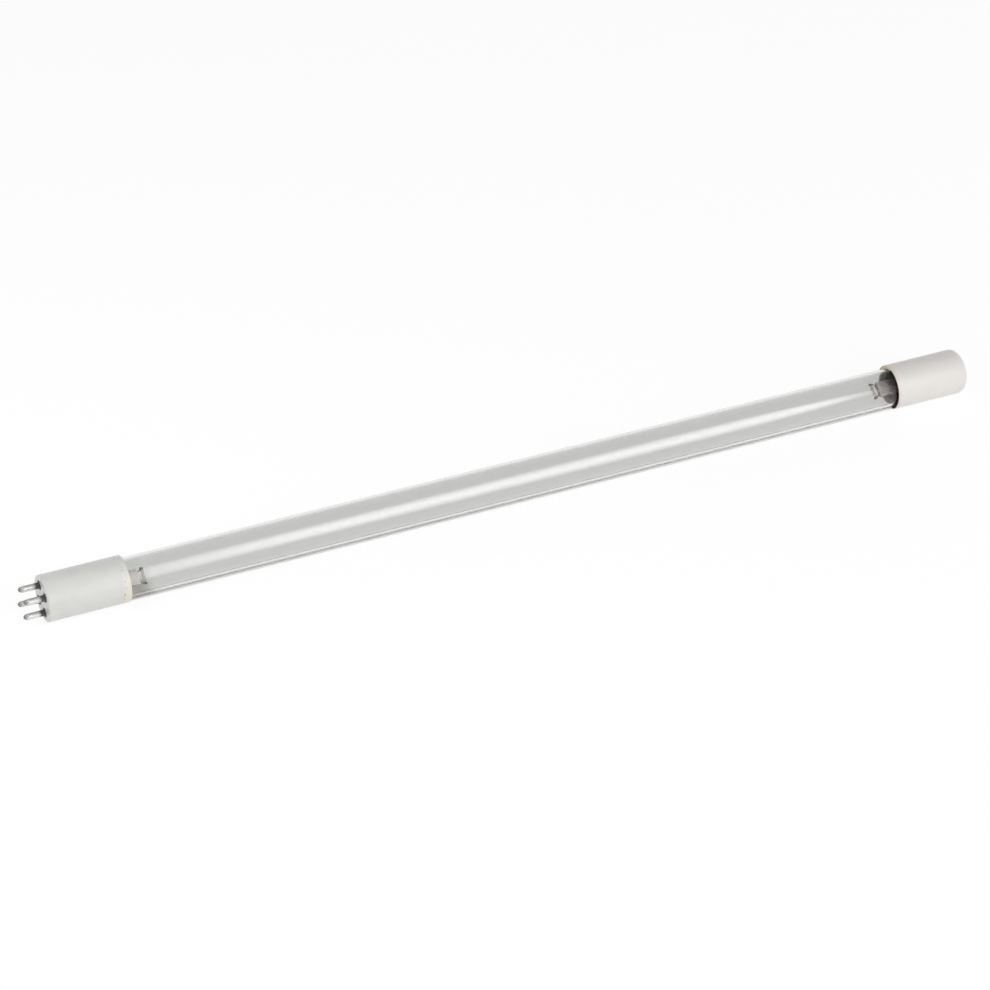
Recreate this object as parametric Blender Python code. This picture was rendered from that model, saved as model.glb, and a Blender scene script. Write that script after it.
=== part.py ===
"""Single-ended germicidal lamp: a clear tube between a four-pin ceramic base and a closed ceramic cap.

The lamp lies along X on its two caps, with the pins at -X. Every piece hangs from the empty
lamp_axis, whose origin is the centre of the pin face, so an x below is a distance from that face.
A clock angle is measured about the axis from straight up towards -Y.
"""

import math

import bmesh
import bpy
from mathutils import Matrix, Vector

MM = 0.001

# Driving dimensions
TUBE_RADIUS = 7.5 * MM
TUBE_WALL = 1.0 * MM
CAP_RADIUS = 8.75 * MM
CAP_LENGTH = 31.0 * MM
BODY_LENGTH = 374.0 * MM
PIN_LENGTH = 7.9 * MM
PIN_RADIUS = 1.175 * MM
PIN_SPACING_WIDE = 7.92 * MM
PIN_SPACING_NARROW = 6.35 * MM
WIRE_RADIUS = 0.2 * MM
BEND_STEP = 1.25 * MM

# Ceramic caps
CAP_SEGMENTS = 32
BORE_RADIUS = 8.15 * MM
MOUTH_RADIUS = 8.45 * MM
MOUTH_FLARE = 1.4 * MM
MOUTH_EDGE_DEPTH = 0.22 * MM
MOUTH_EDGE_LENGTH = 0.9 * MM
BASE_FLOOR = 6.0 * MM
BASE_EDGE = 0.6 * MM
END_FLOOR = 4.0 * MM
END_EDGE = 3.0 * MM
CORNER_STEPS = 5

# Contact pins and their seats
PIN_CLOCK = math.radians(15.0)
PIN_NOSE = 2.2 * MM
PIN_NOSE_STEPS = 6
PIN_NOSE_BLUNTNESS = 0.8
PIN_TAIL = 6.8 * MM
PIN_HOLE_RADIUS = 1.3 * MM
SEAT_RADIUS = 1.85 * MM
SEAT_DEPTH = 0.6 * MM
SHOULDER_RADIUS = 1.6 * MM
SHOULDER_PROUD = 0.3 * MM
SOLDER_BORE_RADIUS = 0.45 * MM
SOLDER_BORE_END = -4.5 * MM
SOLDER_BORE_POINT = 0.4 * MM
WIRE_END_IN_PIN = -3.0 * MM
PIN_SEGMENTS = 16

# Glass stems, measured from the outer end of the cap that hides them
TUBE_INSET = 11.0 * MM
STEM_SIDES = 20
FLARE_RADIUS = 6.2 * MM
GLASS_WALL = 0.9 * MM
FLARE_STEPS = 7
FLARE_CURVE = 1.8
NECK_RADIUS = 3.2 * MM
NECK_START = 17.5 * MM
HOLLOW_END = 25.0 * MM
PRESS_START = 28.5 * MM
PRESS_TIP = 36.1 * MM
PRESS_HALF_WIDTH = 3.0 * MM
PRESS_HALF_THICKNESS = 1.2 * MM
PRESS_SQUARENESS = 2.6
PRESS_EDGE = 0.45 * MM
PRESS_STEPS = 5
LEAD_HOLE_RADIUS = 0.28 * MM
EXHAUST_RADIUS = 0.9 * MM
EXHAUST_BORE_RADIUS = 0.45 * MM
EXHAUST_TIP = 8.0 * MM
EXHAUST_SEAL = 2.0 * MM

# Electrodes
LEAD_OFFSET = 1.9 * MM
FILAMENT_X = 37.9 * MM
HOOK_OFFSET = 2.9 * MM
HOOK_RADIUS = 0.42 * MM
COIL_WIRE_RADIUS = 0.11 * MM
COIL_RADIUS = 0.5 * MM
COIL_HALF_LENGTH = 2.3 * MM
COIL_TURNS = 9
COIL_POINTS_PER_TURN = 10
COIL_LEG_END = 3.35 * MM
MOUNTS = {
    "base": (0.0, math.radians(34.0), False, math.radians(1.8)),
    "end": (BODY_LENGTH, math.radians(146.0), True, 0.0),
}
LEAN_CLOCK = math.radians(144.0)

# Return leads under the tube
SLEEVE_RADIUS = 0.42 * MM
SLEEVE_BORE_RADIUS = 0.29 * MM
SLEEVE_SIDES = 10
TUBE_CLEARANCE = 0.1 * MM
SLEEVED_LEAD_RADIUS = TUBE_RADIUS + TUBE_CLEARANCE + SLEEVE_RADIUS
BARE_LEAD_RADIUS = (TUBE_RADIUS + BORE_RADIUS) / 2 - 0.02 * MM
RETURN_CLOCKS = {"a": math.radians(151.8), "b": math.radians(160.2)}
SLEEVE_END_GAP = 0.15 * MM

# Splices in the far cap
CRIMP_LENGTH = 4.5 * MM
CRIMP_RADIUS = 0.62 * MM
CRIMP_DENT_RADIUS = 0.5 * MM
CRIMP_BORE_RADIUS = 0.3 * MM
CRIMP_OFFSET = 2.6 * MM
CRIMP_START = BODY_LENGTH - 13.2 * MM

# Cement between tube and cap, open where the return leads pass
CEMENT_INNER_RADIUS = 7.6 * MM
CEMENT_OUTER_RADIUS = 8.0 * MM
CEMENT_START = 23.0 * MM
CEMENT_GAP = math.radians(24.0)
CEMENT_GAP_CLOCK = math.radians(156.0)
CEMENT_FACE = CAP_LENGTH - 0.35 * MM
CEMENT_HOLLOW = 0.35 * MM
CEMENT_STEPS = 36

MERCURY_RADIUS = 0.5 * MM
MERCURY_X = BODY_LENGTH - 22.0 * MM
MERCURY_CLEARANCE = 0.08 * MM

TUBE_SEGMENTS = 48
TUBE_EDGE = 0.25 * MM
WELD = 1e-7
AXIS_HEIGHT = CAP_RADIUS * math.cos(math.pi / CAP_SEGMENTS)


def clear_scene():
    """Removes whatever the scene holds."""
    for item in list(bpy.data.objects):
        bpy.data.objects.remove(item, do_unlink=True)


def material(name, colour, roughness, metallic=0.0, transmission=0.0):
    """A Principled material with one colour."""
    made = bpy.data.materials.new(name)
    made.use_nodes = True
    shader = made.node_tree.nodes["Principled BSDF"]
    shader.inputs["Base Color"].default_value = (*colour, 1.0)
    shader.inputs["Roughness"].default_value = roughness
    shader.inputs["Metallic"].default_value = metallic
    shader.inputs["Transmission Weight"].default_value = transmission
    made.diffuse_color = (*colour, 1.0 - 0.7 * transmission)
    made.roughness = roughness
    made.metallic = metallic
    return made


def add_object(name, data, parent, finish=None):
    """Links an object that holds this data under its parent."""
    item = bpy.data.objects.new(name, data)
    bpy.context.scene.collection.objects.link(item)
    item.parent = parent
    if finish and not data.materials:
        data.materials.append(finish)
    return item


def mesh_from(name, shape):
    """Turns a bmesh into a mesh that is smooth on its round faces and sharp at its edges."""
    bmesh.ops.remove_doubles(shape, verts=shape.verts, dist=WELD)
    bmesh.ops.recalc_face_normals(shape, faces=shape.faces)
    data = bpy.data.meshes.new(name)
    shape.to_mesh(data)
    shape.free()
    data.shade_smooth()
    data.set_sharp_from_angle(angle=math.radians(38.0))
    return data


def revolved(name, profile, segments, closed):
    """Turns (x, radius) points about X. The first flat of the turned faces looks straight down."""
    shape = bmesh.new()
    half_step = Matrix.Rotation(math.pi / segments, 3, "X")
    points = [shape.verts.new(half_step @ Vector((x, 0.0, radius))) for x, radius in profile]
    pairs = list(zip(points, points[1:]))
    if closed:
        pairs.append((points[-1], points[0]))
    edges = [shape.edges.new(pair) for pair in pairs]
    bmesh.ops.spin(
        shape,
        geom=points + edges,
        cent=(0.0, 0.0, 0.0),
        axis=(1.0, 0.0, 0.0),
        angle=2 * math.pi,
        steps=segments,
        use_merge=True,
    )
    return mesh_from(name, shape)


def lofted(name, rings):
    """Skins a row of rings that have equal numbers of points, and closes both ends."""
    shape = bmesh.new()
    loops = [[shape.verts.new(point) for point in ring] for ring in rings]
    for first, second in zip(loops, loops[1:]):
        for i in range(len(first)):
            j = (i + 1) % len(first)
            shape.faces.new((first[i], first[j], second[j], second[i]))
    shape.faces.new(loops[0])
    shape.faces.new(loops[-1])
    return mesh_from(name, shape)


def rounded_corner(edge):
    """Profile points of a cap's outer corner, from its end face round to its side."""
    angles = [math.radians(180.0 - 90.0 * i / CORNER_STEPS) for i in range(CORNER_STEPS + 1)]
    return [(edge + edge * math.cos(a), CAP_RADIUS - edge + edge * math.sin(a)) for a in angles]


def around(x, radius, clock):
    """The point at this x, this far from the axis, at this clock angle."""
    return Vector((x, -radius * math.sin(clock), radius * math.cos(clock)))


def smooth_path(points, step):
    """A smooth curve through the points, with samples about a step apart where it bends."""
    points = [Vector(p) for p in points]
    chords = [(b - a).normalized() for a, b in zip(points, points[1:])]
    tangents = [chords[0]]
    tangents += [(a + b).normalized() for a, b in zip(chords, chords[1:])]
    tangents.append(chords[-1])
    path = [points[0]]
    for i, chord in enumerate(chords):
        start, end = points[i], points[i + 1]
        length = (end - start).length
        straight = min(chord.dot(tangents[i]), chord.dot(tangents[i + 1])) > 1 - 1e-9
        count = 1 if straight else max(1, math.ceil(length / step))
        for k in range(1, count + 1):
            t = k / count
            path.append(
                (2 * t**3 - 3 * t**2 + 1) * start
                + (t**3 - 2 * t**2 + t) * length * tangents[i]
                + (3 * t**2 - 2 * t**3) * end
                + (t**3 - t**2) * length * tangents[i + 1]
            )
    return path


def wire(name, path, radius, parent, finish, roundness=2):
    """A solid wire along a path."""
    data = bpy.data.curves.new(name, "CURVE")
    data.dimensions = "3D"
    data.bevel_depth = radius
    data.bevel_resolution = roundness
    data.use_fill_caps = True
    spline = data.splines.new("POLY")
    spline.points.add(len(path) - 1)
    for point, place in zip(spline.points, path):
        point.co = (*place, 1.0)
    return add_object(name, data, parent, finish)


def pipe(name, path, outer, inner):
    """A mesh tube of two radii along a path: out along its bore, and back along its outside."""
    rings = {outer: [], inner: []}
    side = Vector((0.0, 1.0, 0.0))
    for i, place in enumerate(path):
        along = (path[min(i + 1, len(path) - 1)] - path[max(i - 1, 0)]).normalized()
        side = (side - side.dot(along) * along).normalized()
        other = along.cross(side)
        for radius, made in rings.items():
            angles = [2 * math.pi * k / SLEEVE_SIDES for k in range(SLEEVE_SIDES)]
            made.append([place + radius * (math.cos(a) * side + math.sin(a) * other) for a in angles])
    shape = bmesh.new()
    loops = [[shape.verts.new(p) for p in ring] for ring in rings[inner] + rings[outer][::-1]]
    for first, second in zip(loops, loops[1:] + loops[:1]):
        for i in range(SLEEVE_SIDES):
            j = (i + 1) % SLEEVE_SIDES
            shape.faces.new((first[i], first[j], second[j], second[i]))
    return mesh_from(name, shape)


def cut(item, cutters):
    """Subtracts hidden cutters from an object."""
    for number, cutter in enumerate(cutters, 1):
        cutter.hide_render = True
        cutter.display_type = "WIRE"
        modifier = item.modifiers.new(f"hole_{number}", "BOOLEAN")
        modifier.operation = "DIFFERENCE"
        modifier.solver = "EXACT"
        modifier.object = cutter


def rod_cutter(name, start, end, radius, y, parent):
    """A straight round cutter along X, this far to the side of its parent's axis."""
    profile = [(start, 0.0), (start, radius), (end, radius), (end, 0.0)]
    item = add_object(name, revolved(name, profile, 12, closed=False), parent)
    item.location = (0.0, y, 0.0)
    return item


# The ceramic caps share one bore, flared at the mouth
def mouth_and_bore(floor_x):
    """Profile points from the outer edge of the mouth round into the bore and down to its floor."""
    return [
        (CAP_LENGTH - MOUTH_EDGE_LENGTH, CAP_RADIUS),
        (CAP_LENGTH - 0.3 * MOUTH_EDGE_LENGTH, CAP_RADIUS - 0.35 * MOUTH_EDGE_DEPTH),
        (CAP_LENGTH, CAP_RADIUS - MOUTH_EDGE_DEPTH),
        (CAP_LENGTH, MOUTH_RADIUS),
        (CAP_LENGTH - MOUTH_FLARE, BORE_RADIUS),
        (floor_x, BORE_RADIUS),
        (floor_x, 0.0),
    ]


def cap_profile(edge, floor_x):
    """Profile of a cap from the centre of its outer end to the centre of its bore's floor."""
    return [(0.0, 0.0)] + rounded_corner(edge) + mouth_and_bore(floor_x)


def pin_clocks():
    """Clock angles of the four pins, which stand at the corners of a rectangle."""
    half_angle = math.atan2(PIN_SPACING_NARROW, PIN_SPACING_WIDE)
    pairs = [PIN_CLOCK, PIN_CLOCK + math.pi]
    return [pair + sign * half_angle for pair in pairs for sign in (-1, 1)]


def pin_places():
    """Centres of the four pins on the pin face."""
    radius = math.hypot(PIN_SPACING_WIDE, PIN_SPACING_NARROW) / 2
    return [around(0.0, radius, clock) for clock in pin_clocks()]


def add_base_cap(parent, finish):
    """The four-pin base: a ceramic cup with a stepped hole for each pin."""
    data = revolved("base_cap", cap_profile(BASE_EDGE, BASE_FLOOR), CAP_SEGMENTS, closed=False)
    cap = add_object("base_cap", data, parent, finish)
    outside = -1.0 * MM
    inside = BASE_FLOOR + 1.0 * MM
    hole = [
        (outside, 0.0),
        (outside, SEAT_RADIUS),
        (SEAT_DEPTH, SEAT_RADIUS),
        (SEAT_DEPTH, PIN_HOLE_RADIUS),
        (inside, PIN_HOLE_RADIUS),
        (inside, 0.0),
    ]
    shared = revolved("pin_hole", hole, PIN_SEGMENTS, closed=False)
    cutters = []
    for number, place in enumerate(pin_places(), 1):
        cutter = add_object(f"pin_hole_{number}", shared, parent)
        cutter.location = place
        cutters.append(cutter)
    cut(cap, cutters)


def add_end_cap(parent, finish):
    """The closed cap of the far end, turned to face the base."""
    data = revolved("end_cap", cap_profile(END_EDGE, END_FLOOR), CAP_SEGMENTS, closed=False)
    cap = add_object("end_cap", data, parent, finish)
    cap.location = (BODY_LENGTH, 0.0, 0.0)
    cap.rotation_euler = (0.0, 0.0, math.pi)


def add_pins(parent, finish):
    """Four plated pins, each with a bullet tip, a shoulder in its seat, a spread tail and a solder bore."""
    tip = []
    for i in range(PIN_NOSE_STEPS + 1):
        angle = math.radians(90.0 * i / PIN_NOSE_STEPS)
        x = -PIN_LENGTH + PIN_NOSE * (1 - math.cos(angle))
        tip.append((x, PIN_RADIUS * math.sin(angle) ** PIN_NOSE_BLUNTNESS))
    shoulder_back = SEAT_DEPTH - 0.1 * MM
    profile = tip + [
        (-SHOULDER_PROUD - 0.15 * MM, PIN_RADIUS),
        (-SHOULDER_PROUD, SHOULDER_RADIUS),
        (shoulder_back, SHOULDER_RADIUS),
        (shoulder_back, PIN_RADIUS),
        (BASE_FLOOR + 0.1 * MM, PIN_RADIUS),
        (BASE_FLOOR + 0.35 * MM, SHOULDER_RADIUS),
        (PIN_TAIL, SHOULDER_RADIUS - 0.1 * MM),
        (PIN_TAIL, SOLDER_BORE_RADIUS),
        (SOLDER_BORE_END, SOLDER_BORE_RADIUS),
        (SOLDER_BORE_END - SOLDER_BORE_POINT, 0.0),
    ]
    shared = revolved("contact_pin", profile, PIN_SEGMENTS, closed=False)
    for number, place in enumerate(pin_places(), 1):
        pin = add_object(f"contact_pin_{number}", shared, parent, finish)
        pin.location = place


def add_tube(parent, finish):
    """The clear tube, with fire-polished ends."""
    start = TUBE_INSET
    end = BODY_LENGTH - TUBE_INSET
    bore = TUBE_RADIUS - TUBE_WALL
    profile = [
        (start + TUBE_EDGE, TUBE_RADIUS),
        (end - TUBE_EDGE, TUBE_RADIUS),
        (end, TUBE_RADIUS - TUBE_EDGE),
        (end, bore + TUBE_EDGE),
        (end - TUBE_EDGE, bore),
        (start + TUBE_EDGE, bore),
        (start, bore + TUBE_EDGE),
        (start, TUBE_RADIUS - TUBE_EDGE),
    ]
    add_object("clear_tube", revolved("clear_tube", profile, TUBE_SEGMENTS, closed=True), parent, finish)


# Each electrode mount has its own frame: x inwards from the cap's outer end, y along the filament
def mount_matrix(x, roll, turned, lean):
    """Frame of an electrode mount. The far one is turned to look back at the base.

    A mount that was sealed in a little crooked leans from its flare, with its tip off the axis.
    """
    turn = Matrix.Rotation(math.pi if turned else 0.0, 4, "Z")
    flare = Matrix.Translation((TUBE_INSET, 0.0, 0.0))
    hinge = Vector((1.0, 0.0, 0.0)).cross(around(0.0, 1.0, LEAN_CLOCK))
    leaning = flare @ Matrix.Rotation(lean, 4, hinge) @ flare.inverted()
    return Matrix.Translation((x, 0.0, 0.0)) @ turn @ leaning @ Matrix.Rotation(roll, 4, "X")


def stem_ring(x, half_width, half_thickness, squareness):
    """One ring of the stem, from round (squareness 1) to nearly rectangular."""
    ring = []
    for k in range(STEM_SIDES):
        angle = 2 * math.pi * k / STEM_SIDES
        c, s = math.cos(angle), math.sin(angle)
        wide = math.copysign(abs(c) ** (1 / squareness), c)
        thick = math.copysign(abs(s) ** (1 / squareness), s)
        ring.append(Vector((x, half_width * wide, half_thickness * thick)))
    return ring


def flare_radius(x):
    """Outer radius of the stem from its flared rim to its straight neck."""
    t = min(1.0, (x - TUBE_INSET) / (NECK_START - TUBE_INSET))
    return NECK_RADIUS + (FLARE_RADIUS - NECK_RADIUS) * (1 - t) ** FLARE_CURVE


def stem_mesh(name):
    """A flared glass stem: up the hollow from its bottom to the rim, then down the outside to the press."""
    flare_step = (NECK_START - TUBE_INSET) / FLARE_STEPS
    flare = [TUBE_INSET + flare_step * k for k in range(FLARE_STEPS + 1)]
    inner_neck = NECK_RADIUS - GLASS_WALL
    squeeze_start = HOLLOW_END - 1.0 * MM
    rings = [
        stem_ring(HOLLOW_END, inner_neck * 0.75, inner_neck * 0.75, 1.0),
        stem_ring(HOLLOW_END - 0.8 * MM, inner_neck, inner_neck, 1.0),
    ]
    for x in reversed(flare):
        radius = flare_radius(x) - GLASS_WALL
        rings.append(stem_ring(x, radius, radius, 1.0))
    for x in flare:
        rings.append(stem_ring(x, flare_radius(x), flare_radius(x), 1.0))
    rings.append(stem_ring(squeeze_start, NECK_RADIUS, NECK_RADIUS, 1.0))
    for k in range(1, PRESS_STEPS + 1):
        t = k / PRESS_STEPS
        ease = t * t * (3 - 2 * t)
        x = squeeze_start + (PRESS_START - squeeze_start) * t
        width = NECK_RADIUS + (PRESS_HALF_WIDTH - NECK_RADIUS) * ease
        thickness = NECK_RADIUS + (PRESS_HALF_THICKNESS - NECK_RADIUS) * ease
        rings.append(stem_ring(x, width, thickness, 1.0 + (PRESS_SQUARENESS - 1.0) * ease))
    for inset, shrink in ((1.0, 0.0), (0.4, 0.25), (0.0, 1.0)):
        width = PRESS_HALF_WIDTH - shrink * PRESS_EDGE
        thickness = PRESS_HALF_THICKNESS - shrink * PRESS_EDGE
        rings.append(stem_ring(PRESS_TIP - inset * PRESS_EDGE, width, thickness, PRESS_SQUARENESS))
    return lofted(name, rings)


def add_stem(name, mount, finish, with_exhaust):
    """A glass stem with its two lead holes, and on one of them the tipped-off exhaust tube."""
    stem = add_object(name, stem_mesh(name), mount, finish)
    past_tip = PRESS_TIP + 1.0 * MM
    in_hollow = HOLLOW_END - 2.0 * MM
    if with_exhaust:
        root = HOLLOW_END + 1.5 * MM
        profile = [(EXHAUST_TIP, 0.0), (EXHAUST_TIP + 0.15 * MM, 0.4 * EXHAUST_RADIUS)]
        profile += [(EXHAUST_TIP + EXHAUST_RADIUS, EXHAUST_RADIUS), (root, EXHAUST_RADIUS), (root, 0.0)]
        data = revolved(f"{name}_exhaust", profile, PIN_SEGMENTS, closed=False)
        tube = add_object(f"{name}_exhaust", data, mount)
        tube.hide_render = True
        tube.display_type = "WIRE"
        joint = stem.modifiers.new("exhaust_tube", "BOOLEAN")
        joint.operation = "UNION"
        joint.solver = "EXACT"
        joint.object = tube
    cutters = []
    for side, sign in (("a", 1), ("b", -1)):
        hole = f"{name}_hole_{side}"
        offset = sign * LEAD_OFFSET
        cutters.append(rod_cutter(hole, in_hollow, past_tip, LEAD_HOLE_RADIUS, offset, mount))
    if with_exhaust:
        bore = f"{name}_bore"
        bore_start = EXHAUST_TIP + EXHAUST_SEAL
        cutters.append(rod_cutter(bore, bore_start, past_tip, EXHAUST_BORE_RADIUS, 0.0, mount))
    cut(stem, cutters)


def add_filament(name, mount, finish):
    """A coiled filament across the tube, wound between two straight legs."""
    count = COIL_TURNS * COIL_POINTS_PER_TURN
    leg_start = COIL_HALF_LENGTH + 0.35 * MM
    path = [Vector((FILAMENT_X, -COIL_LEG_END, 0.0)), Vector((FILAMENT_X, -leg_start, 0.0))]
    for k in range(count + 1):
        t = k / count
        angle = 2 * math.pi * COIL_TURNS * t
        radius = COIL_RADIUS * min(1.0, COIL_TURNS * min(t, 1 - t) * 1.5 + 0.05)
        y = COIL_HALF_LENGTH * (2 * t - 1)
        path.append(Vector((FILAMENT_X + radius * math.cos(angle), y, radius * math.sin(angle))))
    path.append(Vector((FILAMENT_X, leg_start, 0.0)))
    path.append(Vector((FILAMENT_X, COIL_LEG_END, 0.0)))
    wire(name, path, COIL_WIRE_RADIUS, mount, finish, roundness=1)


def support_points(sign):
    """Support lead in its mount's frame: a hook round the filament's leg, then back through the press."""
    points = []
    for degrees in (150, 105, 60, 15, -30, -75):
        angle = math.radians(degrees)
        across = HOOK_OFFSET + 0.12 * MM * degrees / 150
        points.append(
            (FILAMENT_X + HOOK_RADIUS * math.cos(angle), sign * across, HOOK_RADIUS * math.sin(angle))
        )
    points += [
        (PRESS_TIP + 1.0 * MM, sign * (LEAD_OFFSET + 0.6 * MM), -0.3 * MM),
        (PRESS_TIP + 0.45 * MM, sign * (LEAD_OFFSET + 0.15 * MM), -0.06 * MM),
        (PRESS_TIP - 0.05 * MM, sign * LEAD_OFFSET, 0.0),
        (PRESS_TIP - 0.7 * MM, sign * LEAD_OFFSET, 0.0),
        (NECK_START + 1.0 * MM, sign * LEAD_OFFSET, 0.0),
        (NECK_START - 1.0 * MM, sign * LEAD_OFFSET, 0.0),
    ]
    return points


def base_lead_path(matrix, sign, waypoints, pin):
    """Support lead of the base end, carried on through the chamber into its pin."""
    points = [matrix @ Vector(p) for p in support_points(sign)]
    points += [Vector(p) for p in waypoints]
    for x in (PIN_TAIL + 0.7 * MM, PIN_TAIL - 0.8 * MM, WIRE_END_IN_PIN):
        points.append(pin + Vector((x, 0.0, 0.0)))
    return smooth_path(points, BEND_STEP)


def end_lead_path(matrix, sign):
    """Support lead of the far end, carried on into its splice."""
    points = [matrix @ Vector(p) for p in support_points(sign)]
    splice = matrix @ Vector((0.0, sign * CRIMP_OFFSET, 0.0))
    for x in (CRIMP_START - 0.4 * MM, CRIMP_START + 0.6 * MM, CRIMP_START + 0.42 * CRIMP_LENGTH):
        points.append(Vector((x, splice.y, splice.z)))
    return smooth_path(points, BEND_STEP)


def return_lead_path(clock, pin, splice):
    """A return lead: out of its pin, along the underside of the tube, and round into its splice."""
    far_mouth = BODY_LENGTH - CAP_LENGTH
    tube_end = BODY_LENGTH - TUBE_INSET
    outer = around(0.0, BARE_LEAD_RADIUS, clock)
    points = []
    for x in (WIRE_END_IN_PIN, PIN_TAIL - 0.8 * MM, PIN_TAIL + 0.3 * MM):
        points.append(pin + Vector((x, 0.0, 0.0)))
    middle = pin.lerp(outer, 0.6)
    points.append(Vector((TUBE_INSET - 2.0 * MM, middle.y, middle.z)))
    for x in (TUBE_INSET - 0.3 * MM, TUBE_INSET + 1.2 * MM, CAP_LENGTH - 3.0 * MM, CAP_LENGTH - 1.9 * MM):
        points.append(around(x, BARE_LEAD_RADIUS, clock))
    for x in (CAP_LENGTH - 0.1 * MM, CAP_LENGTH + 0.6 * MM, far_mouth - 0.6 * MM, far_mouth + 0.1 * MM):
        points.append(around(x, SLEEVED_LEAD_RADIUS, clock))
    for x in (far_mouth + 1.9 * MM, far_mouth + 3.0 * MM, tube_end - 1.2 * MM, tube_end + 0.5 * MM):
        points.append(around(x, BARE_LEAD_RADIUS, clock))
    turn_x = BODY_LENGTH - END_FLOOR - 1.0 * MM
    for share, back in ((0.12, 2.2 * MM), (0.35, 0.3 * MM), (0.65, 0.0), (0.9, 1.2 * MM)):
        x = turn_x - back
        place = outer.lerp(splice, share)
        points.append(Vector((x, place.y, place.z)))
    crimp_end = CRIMP_START + CRIMP_LENGTH
    for x in (crimp_end + 0.5 * MM, crimp_end - 0.6 * MM, crimp_end - 0.42 * CRIMP_LENGTH):
        points.append(Vector((x, splice.y, splice.z)))
    return smooth_path(points, BEND_STEP)


def between(path, low, high):
    """The stretch of a path whose x lies between two values, cut square at both."""
    kept = []
    for start, end in zip(path, path[1:]):
        for limit in (low, high):
            if (start.x - limit) * (end.x - limit) < 0:
                kept.append(start.lerp(end, (limit - start.x) / (end.x - start.x)))
        if low < end.x < high:
            kept.append(end)
    return kept


def add_leads(parent, lead_finish, sleeve_finish, crimp_finish):
    """All six leads, with the sleeves and splices on them."""
    pins = pin_places()
    base, end = (mount_matrix(*placing) for placing in MOUNTS.values())
    chamber = {
        "a": [(12.8 * MM, 1.4 * MM, 2.0 * MM), (9.6 * MM, 1.95 * MM, 4.2 * MM)],
        "b": [(12.8 * MM, -2.2 * MM, 0.5 * MM), (9.6 * MM, -3.8 * MM, 2.6 * MM)],
    }
    for side, sign, pin in (("a", 1, pins[0]), ("b", -1, pins[1])):
        path = base_lead_path(base, sign, chamber[side], pin)
        wire(f"base_lead_{side}", path, WIRE_RADIUS, parent, lead_finish)
        covered = between(path[::-1], PIN_TAIL + 0.9 * MM, TUBE_INSET + 4.5 * MM)
        data = pipe(f"base_lead_sleeve_{side}", covered, SLEEVE_RADIUS, SLEEVE_BORE_RADIUS)
        add_object(f"base_lead_sleeve_{side}", data, parent, sleeve_finish)
        wire(f"end_lead_{side}", end_lead_path(end, sign), WIRE_RADIUS, parent, lead_finish)
    for side, sign, pin in (("a", -1, pins[2]), ("b", 1, pins[3])):
        splice = end @ Vector((0.0, sign * CRIMP_OFFSET, 0.0))
        splice.x = 0.0
        clock = RETURN_CLOCKS[side]
        path = return_lead_path(clock, pin, splice)
        wire(f"return_lead_{side}", path, WIRE_RADIUS, parent, lead_finish)
        start = CAP_LENGTH + SLEEVE_END_GAP
        covered = [around(x, SLEEVED_LEAD_RADIUS, clock) for x in (start, BODY_LENGTH - start)]
        data = pipe(f"return_lead_sleeve_{side}", covered, SLEEVE_RADIUS, SLEEVE_BORE_RADIUS)
        add_object(f"return_lead_sleeve_{side}", data, parent, sleeve_finish)
        crimp = add_object(f"crimp_splice_{side}", crimp_mesh(), parent, crimp_finish)
        crimp.location = (CRIMP_START, splice.y, splice.z)


def crimp_mesh():
    """A splice barrel with a dent pressed in each half."""
    outline = [(0.0, CRIMP_RADIUS)]
    for centre in (0.28, 0.72):
        x = centre * CRIMP_LENGTH
        outline += [(x - 0.6 * MM, CRIMP_RADIUS), (x - 0.3 * MM, CRIMP_DENT_RADIUS)]
        outline += [(x + 0.3 * MM, CRIMP_DENT_RADIUS), (x + 0.6 * MM, CRIMP_RADIUS)]
    outline += [(CRIMP_LENGTH, CRIMP_RADIUS), (CRIMP_LENGTH, CRIMP_BORE_RADIUS), (0.0, CRIMP_BORE_RADIUS)]
    return revolved("crimp_splice", outline, 16, closed=True)


def cement_mesh():
    """Cement in the mouth of a cap, with a hollow face, left open where the return leads pass."""
    profile = [
        (CEMENT_START, CEMENT_INNER_RADIUS),
        (CEMENT_START, CEMENT_OUTER_RADIUS),
        (CAP_LENGTH - MOUTH_FLARE, CEMENT_OUTER_RADIUS),
        (CEMENT_FACE, MOUTH_RADIUS - 0.17 * MM),
        (CEMENT_FACE - CEMENT_HOLLOW, CEMENT_OUTER_RADIUS),
        (CEMENT_FACE - 0.1 * MM, CEMENT_INNER_RADIUS),
    ]
    rings = []
    for k in range(CEMENT_STEPS + 1):
        clock = CEMENT_GAP_CLOCK + CEMENT_GAP / 2 + (2 * math.pi - CEMENT_GAP) * k / CEMENT_STEPS
        rings.append([around(x, radius, clock) for x, radius in profile])
    return lofted("cement", rings)


def add_cement(parent, base_finish, end_finish):
    """The two rings of cement. The far one is the mirror of the near one."""
    add_object("base_cement", cement_mesh(), parent, base_finish)
    data = cement_mesh()
    data.transform(Matrix.Diagonal((-1.0, 1.0, 1.0, 1.0)))
    data.flip_normals()
    far = add_object("end_cement", data, parent, end_finish)
    far.location = (BODY_LENGTH, 0.0, 0.0)


def add_mercury(parent, finish):
    """A drop of mercury on the floor of the tube."""
    shape = bmesh.new()
    bmesh.ops.create_icosphere(shape, subdivisions=2, radius=MERCURY_RADIUS)
    drop = add_object("mercury_drop", mesh_from("mercury_drop", shape), parent, finish)
    depth = TUBE_RADIUS - TUBE_WALL - MERCURY_CLEARANCE - MERCURY_RADIUS
    drop.location = (MERCURY_X, 0.0, -depth)


def add_mount_frames(parent):
    """The empties that carry the two electrode mounts."""
    mounts = {}
    for name, placing in MOUNTS.items():
        frame = add_object(f"{name}_mount", None, parent)
        frame.matrix_local = mount_matrix(*placing)
        mounts[name] = frame
    return mounts


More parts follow.
